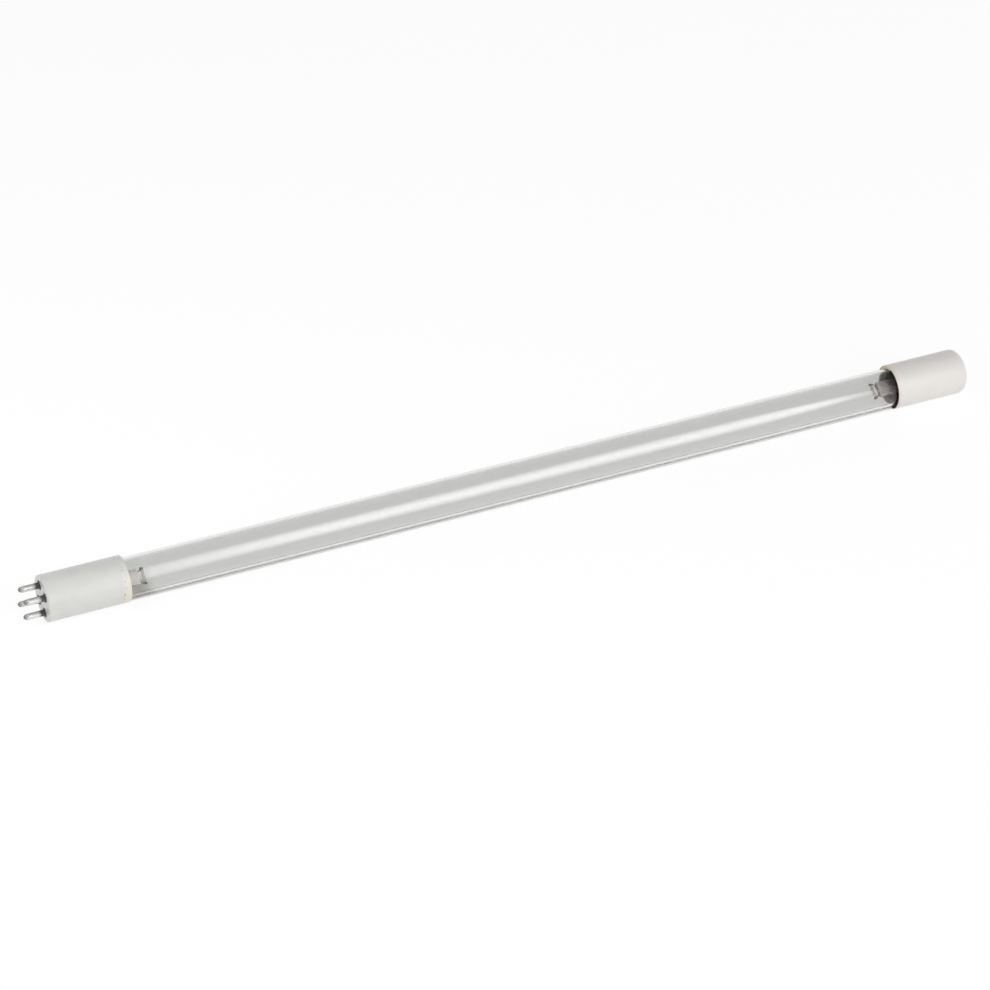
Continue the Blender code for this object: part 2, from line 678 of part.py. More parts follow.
def main():
    clear_scene()
    ceramic = material("white_ceramic", (0.82, 0.81, 0.79), 0.35)
    end_ceramic = material("end_ceramic", (0.84, 0.82, 0.79), 0.35)
    tube_glass = material("tube_glass", (0.93, 0.95, 0.95), 0.03, transmission=1.0)
    stem_glass = material("stem_glass", (0.95, 0.93, 0.92), 0.08, transmission=0.8)
    plated = material("dull_nickel", (0.42, 0.41, 0.39), 0.35, metallic=1.0)
    lead_metal = material("lead_nickel", (0.45, 0.43, 0.41), 0.4, metallic=1.0)
    crimp_metal = material("crimp_brass", (0.6, 0.5, 0.3), 0.35, metallic=1.0)
    tungsten = material("tungsten", (0.2, 0.2, 0.21), 0.45, metallic=1.0)
    sleeving = material("pale_sleeving", (0.85, 0.84, 0.8), 0.7)
    cream_cement = material("cream_cement", (0.83, 0.77, 0.64), 0.85)
    brown_cement = material("brown_cement", (0.09, 0.035, 0.025), 0.6)
    mercury = material("mercury", (0.75, 0.76, 0.78), 0.05, metallic=1.0)

    lamp = add_object("lamp_axis", None, None)
    lamp.location = ((PIN_LENGTH - BODY_LENGTH) / 2, 0.0, AXIS_HEIGHT)
    mounts = add_mount_frames(lamp)

    add_tube(lamp, tube_glass)
    add_base_cap(lamp, ceramic)
    add_end_cap(lamp, end_ceramic)
    add_pins(lamp, plated)
    add_stem("base_stem", mounts["base"], stem_glass, with_exhaust=False)
    add_stem("end_stem", mounts["end"], stem_glass, with_exhaust=True)
    add_filament("base_filament", mounts["base"], tungsten)
    add_filament("end_filament", mounts["end"], tungsten)
    add_leads(lamp, lead_metal, sleeving, crimp_metal)
    add_cement(lamp, cream_cement, brown_cement)
    add_mercury(lamp, mercury)


main()
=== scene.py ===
"""Dresses the germicidal lamp tube: glazed ceramic caps, clear tube, electrode mounts and return leads.

Every piece is built in the row frame, in metres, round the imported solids. In the shapes an x is a distance
from the pin face along the lamp, and in the finishes it is the row frame's own. A clock angle is measured
about the lamp's axis, from straight up towards -Y.
"""

import logging
import math
from collections.abc import Sequence
from dataclasses import dataclass, field
from enum import Enum

import bmesh
import bpy
from mathutils import Matrix, Vector, noise


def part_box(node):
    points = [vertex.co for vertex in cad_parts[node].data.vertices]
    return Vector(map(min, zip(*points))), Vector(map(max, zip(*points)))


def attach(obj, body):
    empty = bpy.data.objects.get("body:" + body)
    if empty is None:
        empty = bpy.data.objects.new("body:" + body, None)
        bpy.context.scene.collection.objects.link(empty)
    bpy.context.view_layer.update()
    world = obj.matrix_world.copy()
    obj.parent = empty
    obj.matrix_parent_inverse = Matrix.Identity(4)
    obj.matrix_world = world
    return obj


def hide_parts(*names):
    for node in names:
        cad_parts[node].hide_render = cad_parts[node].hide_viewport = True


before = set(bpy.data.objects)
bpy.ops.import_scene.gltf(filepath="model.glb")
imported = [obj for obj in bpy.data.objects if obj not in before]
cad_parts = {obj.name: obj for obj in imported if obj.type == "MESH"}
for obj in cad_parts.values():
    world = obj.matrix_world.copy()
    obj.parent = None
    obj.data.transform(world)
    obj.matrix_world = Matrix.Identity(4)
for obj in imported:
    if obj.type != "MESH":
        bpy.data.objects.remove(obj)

MM = 0.001
FULL_TURN = 2 * math.pi
GLASS_IOR = 1.5
WHITE = (1.0, 1.0, 1.0)
LOG = logging.getLogger("lamp")

Colour = tuple[float, float, float]
Profile = list[tuple[float, float]]
Socket = bpy.types.NodeSocket


class End(Enum):
    """The two ends of the lamp."""

    BASE = "base"
    FAR = "end"


# Shapes


def finished_mesh(name: str, shape: bmesh.types.BMesh, sharp_angle: float = 40.0) -> bpy.types.Mesh:
    """Turns a bmesh into a mesh that is smooth on its round faces and sharp at its edges.

    Args:
        name: Name of the mesh.
        shape: The bmesh, which is freed.
        sharp_angle: Angle between faces, in degrees, from which an edge stays sharp.

    Returns:
        The finished mesh.
    """
    bmesh.ops.remove_doubles(shape, verts=shape.verts, dist=1e-8)
    bmesh.ops.recalc_face_normals(shape, faces=shape.faces)
    data = bpy.data.meshes.new(name)
    shape.to_mesh(data)
    shape.free()
    data.shade_smooth()
    data.set_sharp_from_angle(angle=math.radians(sharp_angle))
    return data


def skinned(
    name: str,
    rings: Sequence[Sequence[Vector]],
    closed: bool = False,
    sharp_angle: float = 40.0,
) -> bpy.types.Mesh:
    """Skins a row of rings that have equal numbers of points, with its turns and lengths as UVs.

    Args:
        name: Name of the mesh.
        rings: The rings, in order.
        closed: Whether the last ring joins the first. Otherwise a face closes each end.
        sharp_angle: As in finished_mesh.

    Returns:
        The skin as a mesh. Its UVs are the share of the way round, and metres along.
    """
    shape = bmesh.new()
    uv = shape.loops.layers.uv.new("UVMap")
    loops = [[shape.verts.new(point) for point in ring] for ring in rings]
    lengths = [0.0]
    for first, second in zip(rings, rings[1:]):
        lengths.append(lengths[-1] + (second[0] - first[0]).length)
    count = len(rings[0])
    for number in range(len(loops) if closed else len(loops) - 1):
        first, second = loops[number], loops[(number + 1) % len(loops)]
        near, far = lengths[number], lengths[(number + 1) % len(loops)]
        for i in range(count):
            j = (i + 1) % count
            face = shape.faces.new((first[i], first[j], second[j], second[i]))
            corners = ((i, near), (i + 1, near), (i + 1, far), (i, far))
            for loop, (turn, length) in zip(face.loops, corners):
                loop[uv].uv = (turn / count, length)
    if not closed:
        shape.faces.new(loops[0])
        shape.faces.new(loops[-1])
    return finished_mesh(name, shape, sharp_angle)


def arc(centre: tuple[float, float], radius: float, start: float, end: float, steps: int) -> Profile:
    """Points along an arc of a turned profile.

    Args:
        centre: Centre as (x, radius from the axis).
        radius: Radius of the arc.
        start: First angle in degrees, from +x towards a growing radius.
        end: Last angle in degrees.
        steps: Number of chords.

    Returns:
        The points, both ends among them.
    """
    angles = [math.radians(start + (end - start) * i / steps) for i in range(steps + 1)]
    return [(centre[0] + radius * math.cos(a), centre[1] + radius * math.sin(a)) for a in angles]


def unit_circle(count: int) -> list[tuple[float, float]]:
    """Cosines and sines of equal steps round a turn."""
    angles = [FULL_TURN * k / count for k in range(count)]
    return [(math.cos(a), math.sin(a)) for a in angles]


def smooth_route(points: Sequence[Vector], step: float) -> list[Vector]:
    """A smooth curve through the points of a lead's route.

    Args:
        points: The route's own points.
        step: Spacing of the samples where the route bends.

    Returns:
        Samples along the curve.
    """
    chords = [(b - a).normalized() for a, b in zip(points, points[1:])]
    tangents = [chords[0]]
    tangents += [(a + b).normalized() for a, b in zip(chords, chords[1:])]
    tangents.append(chords[-1])
    route = [points[0]]
    for i, chord in enumerate(chords):
        start, end = points[i], points[i + 1]
        length = (end - start).length
        straight = min(chord.dot(tangents[i]), chord.dot(tangents[i + 1])) > 1 - 1e-9
        count = 1 if straight else max(1, math.ceil(length / step))
        for k in range(1, count + 1):
            t = k / count
            route.append(
                (2 * t**3 - 3 * t**2 + 1) * start
                + (t**3 - 2 * t**2 + t) * length * tangents[i]
                + (3 * t**2 - 2 * t**3) * end
                + (t**3 - t**2) * length * tangents[i + 1]
            )
    return route


def rings_along(
    route: Sequence[Vector], radius: float | Sequence[float], sides: int
) -> list[list[Vector]]:
    """Rings square to a route, turned as little as possible from each to the next.

    Args:
        route: The points that the rings stand on.
        radius: The rings' radius, or one radius for each point of the route.
        sides: Points in each ring.

    Returns:
        One ring for each point of the route.
    """
    side = Vector((0.0, 0.6, 0.8))
    circle = unit_circle(sides)
    rings = []
    last = len(route) - 1
    for i, place in enumerate(route):
        along = (route[min(i + 1, last)] - route[max(i - 1, 0)]).normalized()
        side = (side - side.dot(along) * along).normalized()
        other = along.cross(side)
        size = radius if isinstance(radius, float) else radius[i]
        rings.append([place + size * (c * side + s * other) for c, s in circle])
    return rings


def wire_mesh(
    name: str, route: Sequence[Vector], radius: float | Sequence[float], sides: int = 20
) -> bpy.types.Mesh:
    """A round wire with slightly rounded ends.

    Args:
        name: Name of the mesh.
        route: Points along the wire.
        radius: Radius of the wire, or one radius for each point of the route.
        sides: Number of sides.

    Returns:
        The wire as a mesh.
    """
    narrowing, bulge = 0.7, 0.25
    rings = rings_along(route, radius, sides)
    ends = []
    for ring, place, inner in ((rings[0], route[0], route[1]), (rings[-1], route[-1], route[-2])):
        out = (place - inner).normalized() * (ring[0] - place).length
        ends.append([place + narrowing * (point - place) + bulge * out for point in ring])
    return skinned(name, [ends[0]] + rings + [ends[1]], sharp_angle=60.0)


def add_object(name: str, data: bpy.types.ID) -> bpy.types.Object:
    """Makes an object and links it to the scene.

    Args:
        name: Name of the object.
        data: Its mesh, lamp or camera.

    Returns:
        The object.
    """
    item = bpy.data.objects.new(name, data)
    bpy.context.scene.collection.objects.link(item)
    return item


# Materials


class Nodes:
    """A node tree, with short calls for what the finishes, the lamps and the world need."""

    def __init__(self, tree: bpy.types.NodeTree) -> None:
        """Takes the tree that the nodes go into."""
        self.tree = tree

    def node(self, kind: str, **settings: object) -> bpy.types.Node:
        """Adds a node.

        Args:
            kind: Blender's name of the node's type.
            settings: Properties to set on it.

        Returns:
            The node.
        """
        made = self.tree.nodes.new(kind)
        for key, value in settings.items():
            setattr(made, key, value)
        return made

    def feed(self, value: Socket | float | Colour, target: Socket) -> None:
        """Links a socket to an input, or sets the input's own value.

        Args:
            value: A socket, a number or a colour.
            target: The input.
        """
        if isinstance(value, bpy.types.NodeSocket):
            self.tree.links.new(value, target)
        elif isinstance(value, tuple) and len(target.default_value) == 4:
            target.default_value = (*value, 1.0)
        else:
            target.default_value = value

    def maths(self, operation: str, *values: Socket | float) -> Socket:
        """Combines numbers.

        Args:
            operation: Blender's name of the operation.
            values: The numbers, in the operation's order.

        Returns:
            The result's socket.
        """
        made = self.node("ShaderNodeMath", operation=operation)
        for value, target in zip(values, made.inputs):
            self.feed(value, target)
        return made.outputs[0]

    def product(self, *factors: Socket | float) -> Socket:
        """Multiplies numbers.

        Args:
            factors: Two or more numbers.

        Returns:
            The product's socket.
        """
        total = factors[0]
        for factor in factors[1:]:
            total = self.maths("MULTIPLY", total, factor)
        return total

    def part(self, vector: Socket, letter: str) -> Socket:
        """One coordinate of a vector.

        Args:
            vector: The vector.
            letter: "X", "Y" or "Z".

        Returns:
            The coordinate's socket.
        """
        made = self.node("ShaderNodeSeparateXYZ")
        self.feed(vector, made.inputs[0])
        return made.outputs[letter]

    def between(
        self, value: Socket, start: float, end: float, low: float = 0.0, high: float = 1.0
    ) -> Socket:
        """A smooth step.

        Args:
            value: The number to read.
            start: Where the step starts.
            end: Where the step ends.
            low: The result at the start.
            high: The result at the end.

        Returns:
            The step's socket.
        """
        made = self.node("ShaderNodeMapRange", interpolation_type="SMOOTHSTEP")
        for key, number in (("From Min", start), ("From Max", end), ("To Min", low), ("To Max", high)):
            made.inputs[key].default_value = number
        self.feed(value, made.inputs["Value"])
        return made.outputs["Result"]

    def seen_share(self) -> Socket:
        """1 where the camera, a reflection or a view through glass meets the surface, and else 0.

        Returns:
            The share's socket.
        """
        path = self.node("ShaderNodeLightPath").outputs
        seen = self.maths("MAXIMUM", path["Is Camera Ray"], path["Is Glossy Ray"])
        return self.maths("MAXIMUM", seen, path["Is Transmission Ray"])

    def matt(self, grey: float) -> Socket:
        """Matt paint of one grey.

        Args:
            grey: The paint's level.

        Returns:
            The shader's socket.
        """
        paint = self.node("ShaderNodeBsdfDiffuse")
        self.feed((grey, grey, grey), paint.inputs["Color"])
        return paint.outputs[0]

    def mixed(self, share: Socket, first: Socket, second: Socket) -> Socket:
        """Mixes two shaders.

        Args:
            share: How much of the second shader shows.
            first: The first shader.
            second: The second shader.

        Returns:
            The mixed shader's socket.
        """
        made = self.node("ShaderNodeMixShader")
        for value, target in zip((share, first, second), made.inputs):
            self.feed(value, target)
        return made.outputs[0]


class Shading(Nodes):
    """The node tree of one material, whose textures lie in the object's own coordinates."""

    def __init__(self, name: str) -> None:
        """Starts a material that holds only its Principled shader and output.

        Args:
            name: Name of the material.
        """
        self.material = bpy.data.materials.new(name)
        self.material.use_nodes = True
        super().__init__(self.material.node_tree)
        self.shader = self.tree.nodes["Principled BSDF"]
        self.output = self.tree.nodes["Material Output"]
        self.place = self.node("ShaderNodeTexCoord").outputs["Object"]

    def set(self, **values: Socket | float | Colour) -> None:
        """Feeds the Principled shader's inputs, named with _ in place of spaces."""
        for key, value in values.items():
            self.feed(value, self.shader.inputs[key.replace("_", " ")])

    def noise(
        self, size: float, detail: float = 2.0, stretch: tuple[float, float, float] = (1.0, 1.0, 1.0)
    ) -> Socket:
        """Noise in the object's own coordinates.

        Args:
            size: Size of its features, in metres.
            detail: Octaves of finer noise.
            stretch: How much longer the features are along each axis.

        Returns:
            The noise, from 0 to 1.
        """
        scaled = self.node("ShaderNodeVectorMath", operation="MULTIPLY")
        self.feed(self.place, scaled.inputs[0])
        self.feed(tuple(1.0 / (size * s) for s in stretch), scaled.inputs[1])
        made = self.node("ShaderNodeTexNoise")
        made.inputs["Scale"].default_value = 1.0
        made.inputs["Detail"].default_value = detail
        self.feed(scaled.outputs[0], made.inputs["Vector"])
        return made.outputs["Fac"]

    def spots(self, size: float) -> Socket:
        """Distance to the nearest of scattered points, in shares of their spacing.

        Args:
            size: Spacing of the points, in metres.

        Returns:
            The distance's socket.
        """
        made = self.node("ShaderNodeTexVoronoi")
        made.inputs["Scale"].default_value = 1.0 / size
        self.feed(self.place, made.inputs["Vector"])
        return made.outputs["Distance"]

    def axis(self, letter: str) -> Socket:
        """The object's own x, y or z."""
        return self.part(self.place, letter)

    def away_from(self, x: float) -> Socket:
        """Distance along the lamp from an x of the row frame."""
        return self.maths("ABSOLUTE", self.maths("SUBTRACT", self.axis("X"), x))

    def blend(self, share: Socket | float, first: Socket | Colour, second: Socket | Colour) -> Socket:
        """Mixes two colours.

        Args:
            share: How much of the second colour shows.
            first: The first colour.
            second: The second colour.

        Returns:
            The mixed colour's socket.
        """
        made = self.node("ShaderNodeMix", data_type="RGBA")
        self.feed(share, made.inputs[0])
        self.feed(first, made.inputs[6])
        self.feed(second, made.inputs[7])
        return made.outputs[2]

    def bump(self, height: Socket, depth: float, under: Socket | None = None) -> Socket:
        """Relief as a normal.

        Args:
            height: The relief, from 0 to 1.
            depth: Depth of the relief, in metres.
            under: A normal to add the relief to.

        Returns:
            The normal's socket.
        """
        made = self.node("ShaderNodeBump")
        made.inputs["Strength"].default_value = 1.0
        made.inputs["Distance"].default_value = depth
        self.feed(height, made.inputs["Height"])
        if under is not None:
            self.feed(under, made.inputs["Normal"])
        return made.outputs[0]

    def let_lamps_through(self, tint: Socket | Colour) -> None:
        """Lets the lamps' light through the surface, so that glass throws a pale shadow.

        Args:
            tint: What the glass leaves of that light.
        """
        clear = self.node("ShaderNodeBsdfTransparent")
        self.feed(tint, clear.inputs["Color"])
        shadow = self.node("ShaderNodeLightPath").outputs["Is Shadow Ray"]
        surface = self.mixed(shadow, self.shader.outputs[0], clear.outputs[0])
        self.feed(surface, self.output.inputs["Surface"])


@dataclass(frozen=True)
class GlazedCeramic:
    """Pressed white ceramic under a thin glaze, cream along the rim of its mouth."""

    name: str
    white: Colour
    shade: Colour
    rim: Colour
    rim_x: float
    rim_width: float
    rim_top: float = 1.0
    rim_pores: float = 0.0
    roughness: float = 0.36
    speck: Colour = (0.56, 0.5, 0.4)

    def material(self) -> bpy.types.Material:
        """Builds the material.

        Returns:
            The material.
        """
        made = Shading(self.name)
        cloud = made.between(made.noise(7 * MM, 3.0), 0.35, 0.7)
        body = made.blend(cloud, self.white, self.shade)
        rim = made.away_from(self.rim_x)
        ragged = made.maths("MULTIPLY_ADD", made.noise(1.2 * MM, 3.0), 0.8 * MM, -0.4 * MM)
        band = made.between(made.maths("ADD", rim, ragged), 0.7 * self.rim_width, self.rim_width, 0.85, 0.0)
        low = made.between(made.axis("Z"), self.rim_top - 3.5 * MM, self.rim_top, 1.0, 0.12)
        body = made.blend(made.product(band, low), body, self.rim)
        pore = made.between(made.spots(0.9 * MM), 0.055, 0.1, 1.0, 0.0)
        rare = made.between(made.noise(1.7 * MM, 0.0), 0.56, 0.62)
        zone_share = made.between(rim, 0.8 * self.rim_width, self.rim_width, 1.0, 0.0)
        inner = made.between(rim, 0.45 * self.rim_width, 0.65 * self.rim_width)
        rim_pore = made.between(made.spots(1.1 * MM), 0.26, 0.36, self.rim_pores, 0.0)
        ringed = made.product(zone_share, inner, rim_pore)
        scattered = made.product(pore, rare, 0.5)
        speck = made.maths("MAXIMUM", scattered, ringed)
        made.set(
            Base_Color=made.blend(speck, body, self.speck),
            Roughness=made.between(
                made.noise(2.4 * MM, 4.0), 0.3, 0.7, self.roughness - 0.07, self.roughness + 0.08
            ),
            Coat_Weight=0.25,
            Coat_Roughness=0.12,
        )
        peel = made.bump(made.noise(0.55 * MM, 2.0), 0.012 * MM)
        turned = made.bump(made.noise(0.35 * MM, 1.0, (1.0, 40.0, 40.0)), 0.004 * MM, peel)
        made.set(Normal=made.bump(made.product(speck, -1.0), 0.03 * MM, turned))
        return made.material


@dataclass(frozen=True)
class TubeGlass:
    """Drawn glass with draw lines, faintly grey with painted shade as far as the far cap's mouth and clear
    inside it.

    Near the base's filament its underside is grey-brown.
    """

    name: str
    tint: Colour
    edge: Colour
    grey_brown: Colour
    grey_brown_x: float
    grey_brown_z: float
    bare: Colour
    bare_x: float
    shadow_tint: Colour

    def material(self) -> bpy.types.Material:
        """Builds the material.

        Returns:
            The material.
        """
        made = Shading(self.name)
        # The grey tint is painted shade. The paler tint where the glass is seen edge-on is painted light on
        # its edge bands.
        slant = made.node("ShaderNodeLayerWeight")
        slant.inputs["Blend"].default_value = 0.5
        painted_edge_share = made.between(slant.outputs["Facing"], 0.25, 0.9)
        # Grey-brown towards the underside, near the base's filament.
        ragged = made.product(made.noise(2.5 * MM, 2.0), 3.0 * MM)
        ragged_x = made.maths("ADD", made.axis("X"), ragged)
        along = made.between(ragged_x, self.grey_brown_x, self.grey_brown_x + 7 * MM, 1.0, 0.0)
        below = made.between(made.axis("Z"), self.grey_brown_z, self.grey_brown_z + 3.5 * MM, 1.0, 0.0)
        grey_brown_share = made.product(along, below)
        glass = made.blend(grey_brown_share, made.blend(painted_edge_share, self.tint, self.edge), self.grey_brown)
        capped = made.between(made.axis("X"), self.bare_x - 0.3 * MM, self.bare_x + 0.9 * MM)
        made.set(
            Base_Color=made.blend(capped, glass, self.bare),
            Roughness=0.015,
            IOR=GLASS_IOR,
            Transmission_Weight=1.0,
        )
        drawn = made.bump(made.noise(0.7 * MM, 2.0, (60.0, 1.0, 1.0)), 0.0015 * MM)
        made.set(Normal=made.bump(made.noise(9 * MM, 1.0, (2.0, 1.0, 1.0)), 0.02 * MM, drawn))
        made.let_lamps_through(made.blend(capped, self.shadow_tint, self.bare))
        return made.material


@dataclass(frozen=True)
class PressedGlass:
    """Soft stem glass, milky with fine bubbles where it was pinched, and darkened with painted shade beyond
    a given x, where the cap shades it.
    """

    name: str
    tint: Colour
    milk: Colour
    clearness: float
    painted_shade: Colour = (1.0, 1.0, 1.0)
    painted_shade_x: float = 1.0

    def material(self) -> bpy.types.Material:
        """Builds the material.

        Returns:
            The material.
        """
        made = Shading(self.name)
        seeds = made.between(made.spots(0.7 * MM), 0.1, 0.28, 1.0, 0.0)
        cloud = made.between(made.noise(1.4 * MM, 3.0), 0.35, 0.65)
        body = made.blend(made.maths("MAXIMUM", seeds, cloud), self.tint, self.milk)
        # Painted shade: darker beyond the given x, inside the cap.
        zone_share = made.between(made.axis("X"), self.painted_shade_x - 1.0 * MM, self.painted_shade_x + 1.5 * MM)
        made.set(
            Base_Color=made.blend(zone_share, body, self.painted_shade),
            Roughness=made.between(cloud, 0.0, 1.0, 0.12, 0.3),
            IOR=GLASS_IOR,
            Transmission_Weight=self.clearness,
        )
        made.set(Normal=made.bump(made.noise(0.9 * MM, 2.0), 0.05 * MM))
        return made.material


@dataclass(frozen=True)
class PlatedPin:
    """Dull nickel plate, dark with painted shade at the root, where the pin enters its seat, and darker
    towards the tip.
    """

    name: str
    plate: Colour
    oxide: Colour
    root_x: float
    tip_x: float
    roughness: float = 0.3

    def material(self) -> bpy.types.Material:
        """Builds the material.

        Returns:
            The material.
        """
        made = Shading(self.name)
        x = made.axis("X")
        cloud = made.noise(0.8 * MM, 3.0)
        ragged_x = made.maths("ADD", x, made.product(cloud, 0.9 * MM))
        # Painted shade at the root, where the pin enters its seat; darker towards the tip as well.
        root = made.between(ragged_x, self.root_x - 2.3 * MM, self.root_x - 0.7 * MM)
        tip = made.between(ragged_x, self.tip_x + 0.9 * MM, self.tip_x + 2.2 * MM, 0.7, 0.0)
        scratch = made.between(made.noise(0.3 * MM, 2.0, (14.0, 1.0, 1.0)), 0.5, 0.8, 0.0, 0.2)
        plate = made.blend(scratch, self.plate, tuple(0.72 * c for c in self.plate))
        made.set(
            Base_Color=made.blend(made.maths("MAXIMUM", root, tip), plate, self.oxide),
            Metallic=made.between(root, 0.0, 1.0, 1.0, 0.7),
            Roughness=made.between(cloud, 0.3, 0.7, self.roughness - 0.08, self.roughness + 0.12),
        )
        made.set(Normal=made.bump(made.noise(0.3 * MM, 1.0, (14.0, 1.0, 1.0)), 0.0008 * MM))
        return made.material


@dataclass(frozen=True)
class DrawnMetal:
    """A drawn or pressed metal, tarnished in patches."""

    name: str
    bright: Colour
    tarnish: Colour
    roughness: float

    def material(self) -> bpy.types.Material:
        """Builds the material.

        Returns:
            The material.
        """
        made = Shading(self.name)
        patch = made.between(made.noise(0.9 * MM, 4.0), 0.38, 0.66)
        made.set(
            Base_Color=made.blend(patch, self.bright, self.tarnish),
            Metallic=1.0,
            Roughness=made.between(patch, 0.0, 1.0, self.roughness, self.roughness + 0.2),
        )
        made.set(Normal=made.bump(made.noise(0.07 * MM, 2.0, (10.0, 1.0, 1.0)), 0.003 * MM))
        return made.material


@dataclass(frozen=True)
class CoatedCoil:
    """Tungsten wire with the pale oxide that helps it give off electrons."""

    name: str
    oxide: Colour
    bare: Colour

    def material(self) -> bpy.types.Material:
        """Builds the material.

        Returns:
            The material.
        """
        made = Shading(self.name)
        crust = made.between(made.noise(0.12 * MM, 3.0), 0.4, 0.55)
        made.set(
            Base_Color=made.blend(crust, self.bare, self.oxide),
            Metallic=made.between(crust, 0.0, 1.0, 0.8, 0.0),
            Roughness=made.between(crust, 0.0, 1.0, 0.5, 0.9),
        )
        made.set(Normal=made.bump(made.noise(0.05 * MM, 3.0), 0.02 * MM))
        return made.material


@dataclass(frozen=True)
class WovenSleeving:
    """Braided glass-fibre sleeving, pale, with a slanting weave."""

    name: str
    yarn: Colour
    gap: Colour
    pitch: float
    strands: int

    def material(self) -> bpy.types.Material:
        """Builds the material.

        Returns:
            The material.
        """
        made = Shading(self.name)
        uv = made.node("ShaderNodeUVMap").outputs[0]
        along = made.maths("DIVIDE", made.part(uv, "Y"), self.pitch)
        round_turns = made.product(made.part(uv, "X"), float(self.strands))
        waves = []
        for sign in (1.0, -1.0):
            phase = made.maths("ADD", made.product(round_turns, sign), along)
            waves.append(made.maths("ABSOLUTE", made.maths("SINE", made.product(phase, math.pi))))
        yarns = made.product(*waves)
        fuzz = made.noise(0.06 * MM, 2.0)
        made.set(
            Base_Color=made.blend(made.between(yarns, 0.05, 0.45), self.gap, self.yarn),
            Roughness=0.75,
            Sheen_Weight=0.15,
            Sheen_Roughness=0.4,
        )
        made.set(Normal=made.bump(fuzz, 0.01 * MM, made.bump(yarns, 0.06 * MM)))
        return made.material


@dataclass(frozen=True)
class BasingCement:
    """Baked basing cement, grainy and matt, with a paler patch at the back of the mouth near its face."""

    name: str
    body: Colour
    grain: Colour
    roughness: float
    paler_back: Colour
    paler_back_y: float
    mouth_x: float
    paler_back_depth: float

    def material(self) -> bpy.types.Material:
        """Builds the material.

        Returns:
            The material.
        """
        made = Shading(self.name)
        grain = made.between(made.noise(0.3 * MM, 4.0), 0.4, 0.65)
        # On the far cap the paler patch at the back of the mouth is painted light.
        patch = made.product(made.noise(2.2 * MM, 3.0), 3.0 * MM)
        at_back = made.between(made.maths("ADD", made.axis("Y"), patch), self.paler_back_y, self.paler_back_y + 2.0 * MM)
        uneven = made.maths("ADD", made.away_from(self.mouth_x), made.product(patch, 0.5))
        shallow = made.between(uneven, self.paler_back_depth, self.paler_back_depth + 1.2 * MM, 1.0, 0.0)
        paler_back_share = made.product(at_back, shallow)
        made.set(
            Base_Color=made.blend(paler_back_share, made.blend(grain, self.body, self.grain), self.paler_back),
            Roughness=made.between(grain, 0.0, 1.0, self.roughness, 0.95),
        )
        made.set(Normal=made.bump(made.noise(0.22 * MM, 4.0), 0.06 * MM))
        return made.material


@dataclass(frozen=True)
class LiquidMetal:
    """Clean mercury, with a thin skin that dulls it in places."""

    name: str
    bright: Colour
    skin: Colour

    def material(self) -> bpy.types.Material:
        """Builds the material.

        Returns:
            The material.
        """
        made = Shading(self.name)
        skin = made.between(made.noise(0.4 * MM, 2.0), 0.5, 0.75)
        made.set(
            Base_Color=made.blend(skin, self.bright, self.skin),
            Metallic=1.0,
            Roughness=made.between(skin, 0.0, 1.0, 0.03, 0.2),
        )
        return made.material


# The lamp


@dataclass(frozen=True)
class LampFrame:
    """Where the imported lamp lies: its axis, its two ends and the largest circle that its box holds."""

    pin_face: float
    cap_end: float
    tip: float
    height: float
    radius: float

    @classmethod
    def from_solids(cls) -> "LampFrame":
        """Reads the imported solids.

        Returns:
            The frame of the lamp.
        """
        low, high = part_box("base_cap")
        height = (low.z + high.z) / 2
        return cls(low.x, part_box("end_cap")[1].x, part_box("contact_pin_1")[0].x, height, height - low.z)

    @property
    def length(self) -> float:
        """Distance from the pin face to the far cap's end."""
        return self.cap_end - self.pin_face

    def at(self, x: float, radius: float, clock: float) -> Vector:
        """A point in the row frame.

        Args:
            x: Distance from the pin face.
            radius: Distance from the axis.
            clock: Angle about the axis, from straight up towards -Y.

        Returns:
            The point.
        """
        return Vector(
            (self.pin_face + x, -radius * math.sin(clock), self.height + radius * math.cos(clock))
        )

    def turned(
        self,
        name: str,
        profile: Profile,
        segments: int,
        closed: bool = False,
        centre: tuple[float, float] = (0.0, 0.0),
        sharp_angle: float = 40.0,
    ) -> bpy.types.Mesh:
        """Turns a profile about a line along the lamp.

        Args:
            name: Name of the mesh.
            profile: Points as (x, radius).
            segments: Number of steps in a turn.
            closed: Whether the last point joins the first, as on a tube.
            centre: The line's (radius, clock) from the lamp's axis.
            sharp_angle: As in finished_mesh.

        Returns:
            The turned mesh.
        """
        line = self.at(0.0, *centre)
        shape = bmesh.new()
        points = [shape.verts.new(line + Vector((x, 0.0, radius))) for x, radius in profile]
        pairs = list(zip(points, points[1:]))
        if closed:
            pairs.append((points[-1], points[0]))
        edges = [shape.edges.new(pair) for pair in pairs]
        bmesh.ops.spin(
            shape,
            geom=points + edges,
            cent=line,
            axis=(1, 0, 0),
            angle=FULL_TURN,
            steps=segments,
            use_merge=True,
        )
        return finished_mesh(name, shape, sharp_angle)


def add_piece(
    name: str, data: bpy.types.Mesh, finish: bpy.types.Material, slot: str, *nodes: str
) -> bpy.types.Object:
    """Adds one piece of the lamp, which rides on its only body.

    Args:
        name: Name of the piece.
        data: Its mesh, in the row frame.
        finish: Its material.
        slot: The record's material slot. Not used.
        nodes: The solids that it stands for.

    Returns:
        The piece.
    """
    piece = add_object(name, data)
    data.materials.append(finish)
    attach(piece, "root")
    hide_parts(*nodes)
    LOG.info("%s: %d faces, stands for %s", name, len(data.polygons), ", ".join(nodes))
    return piece


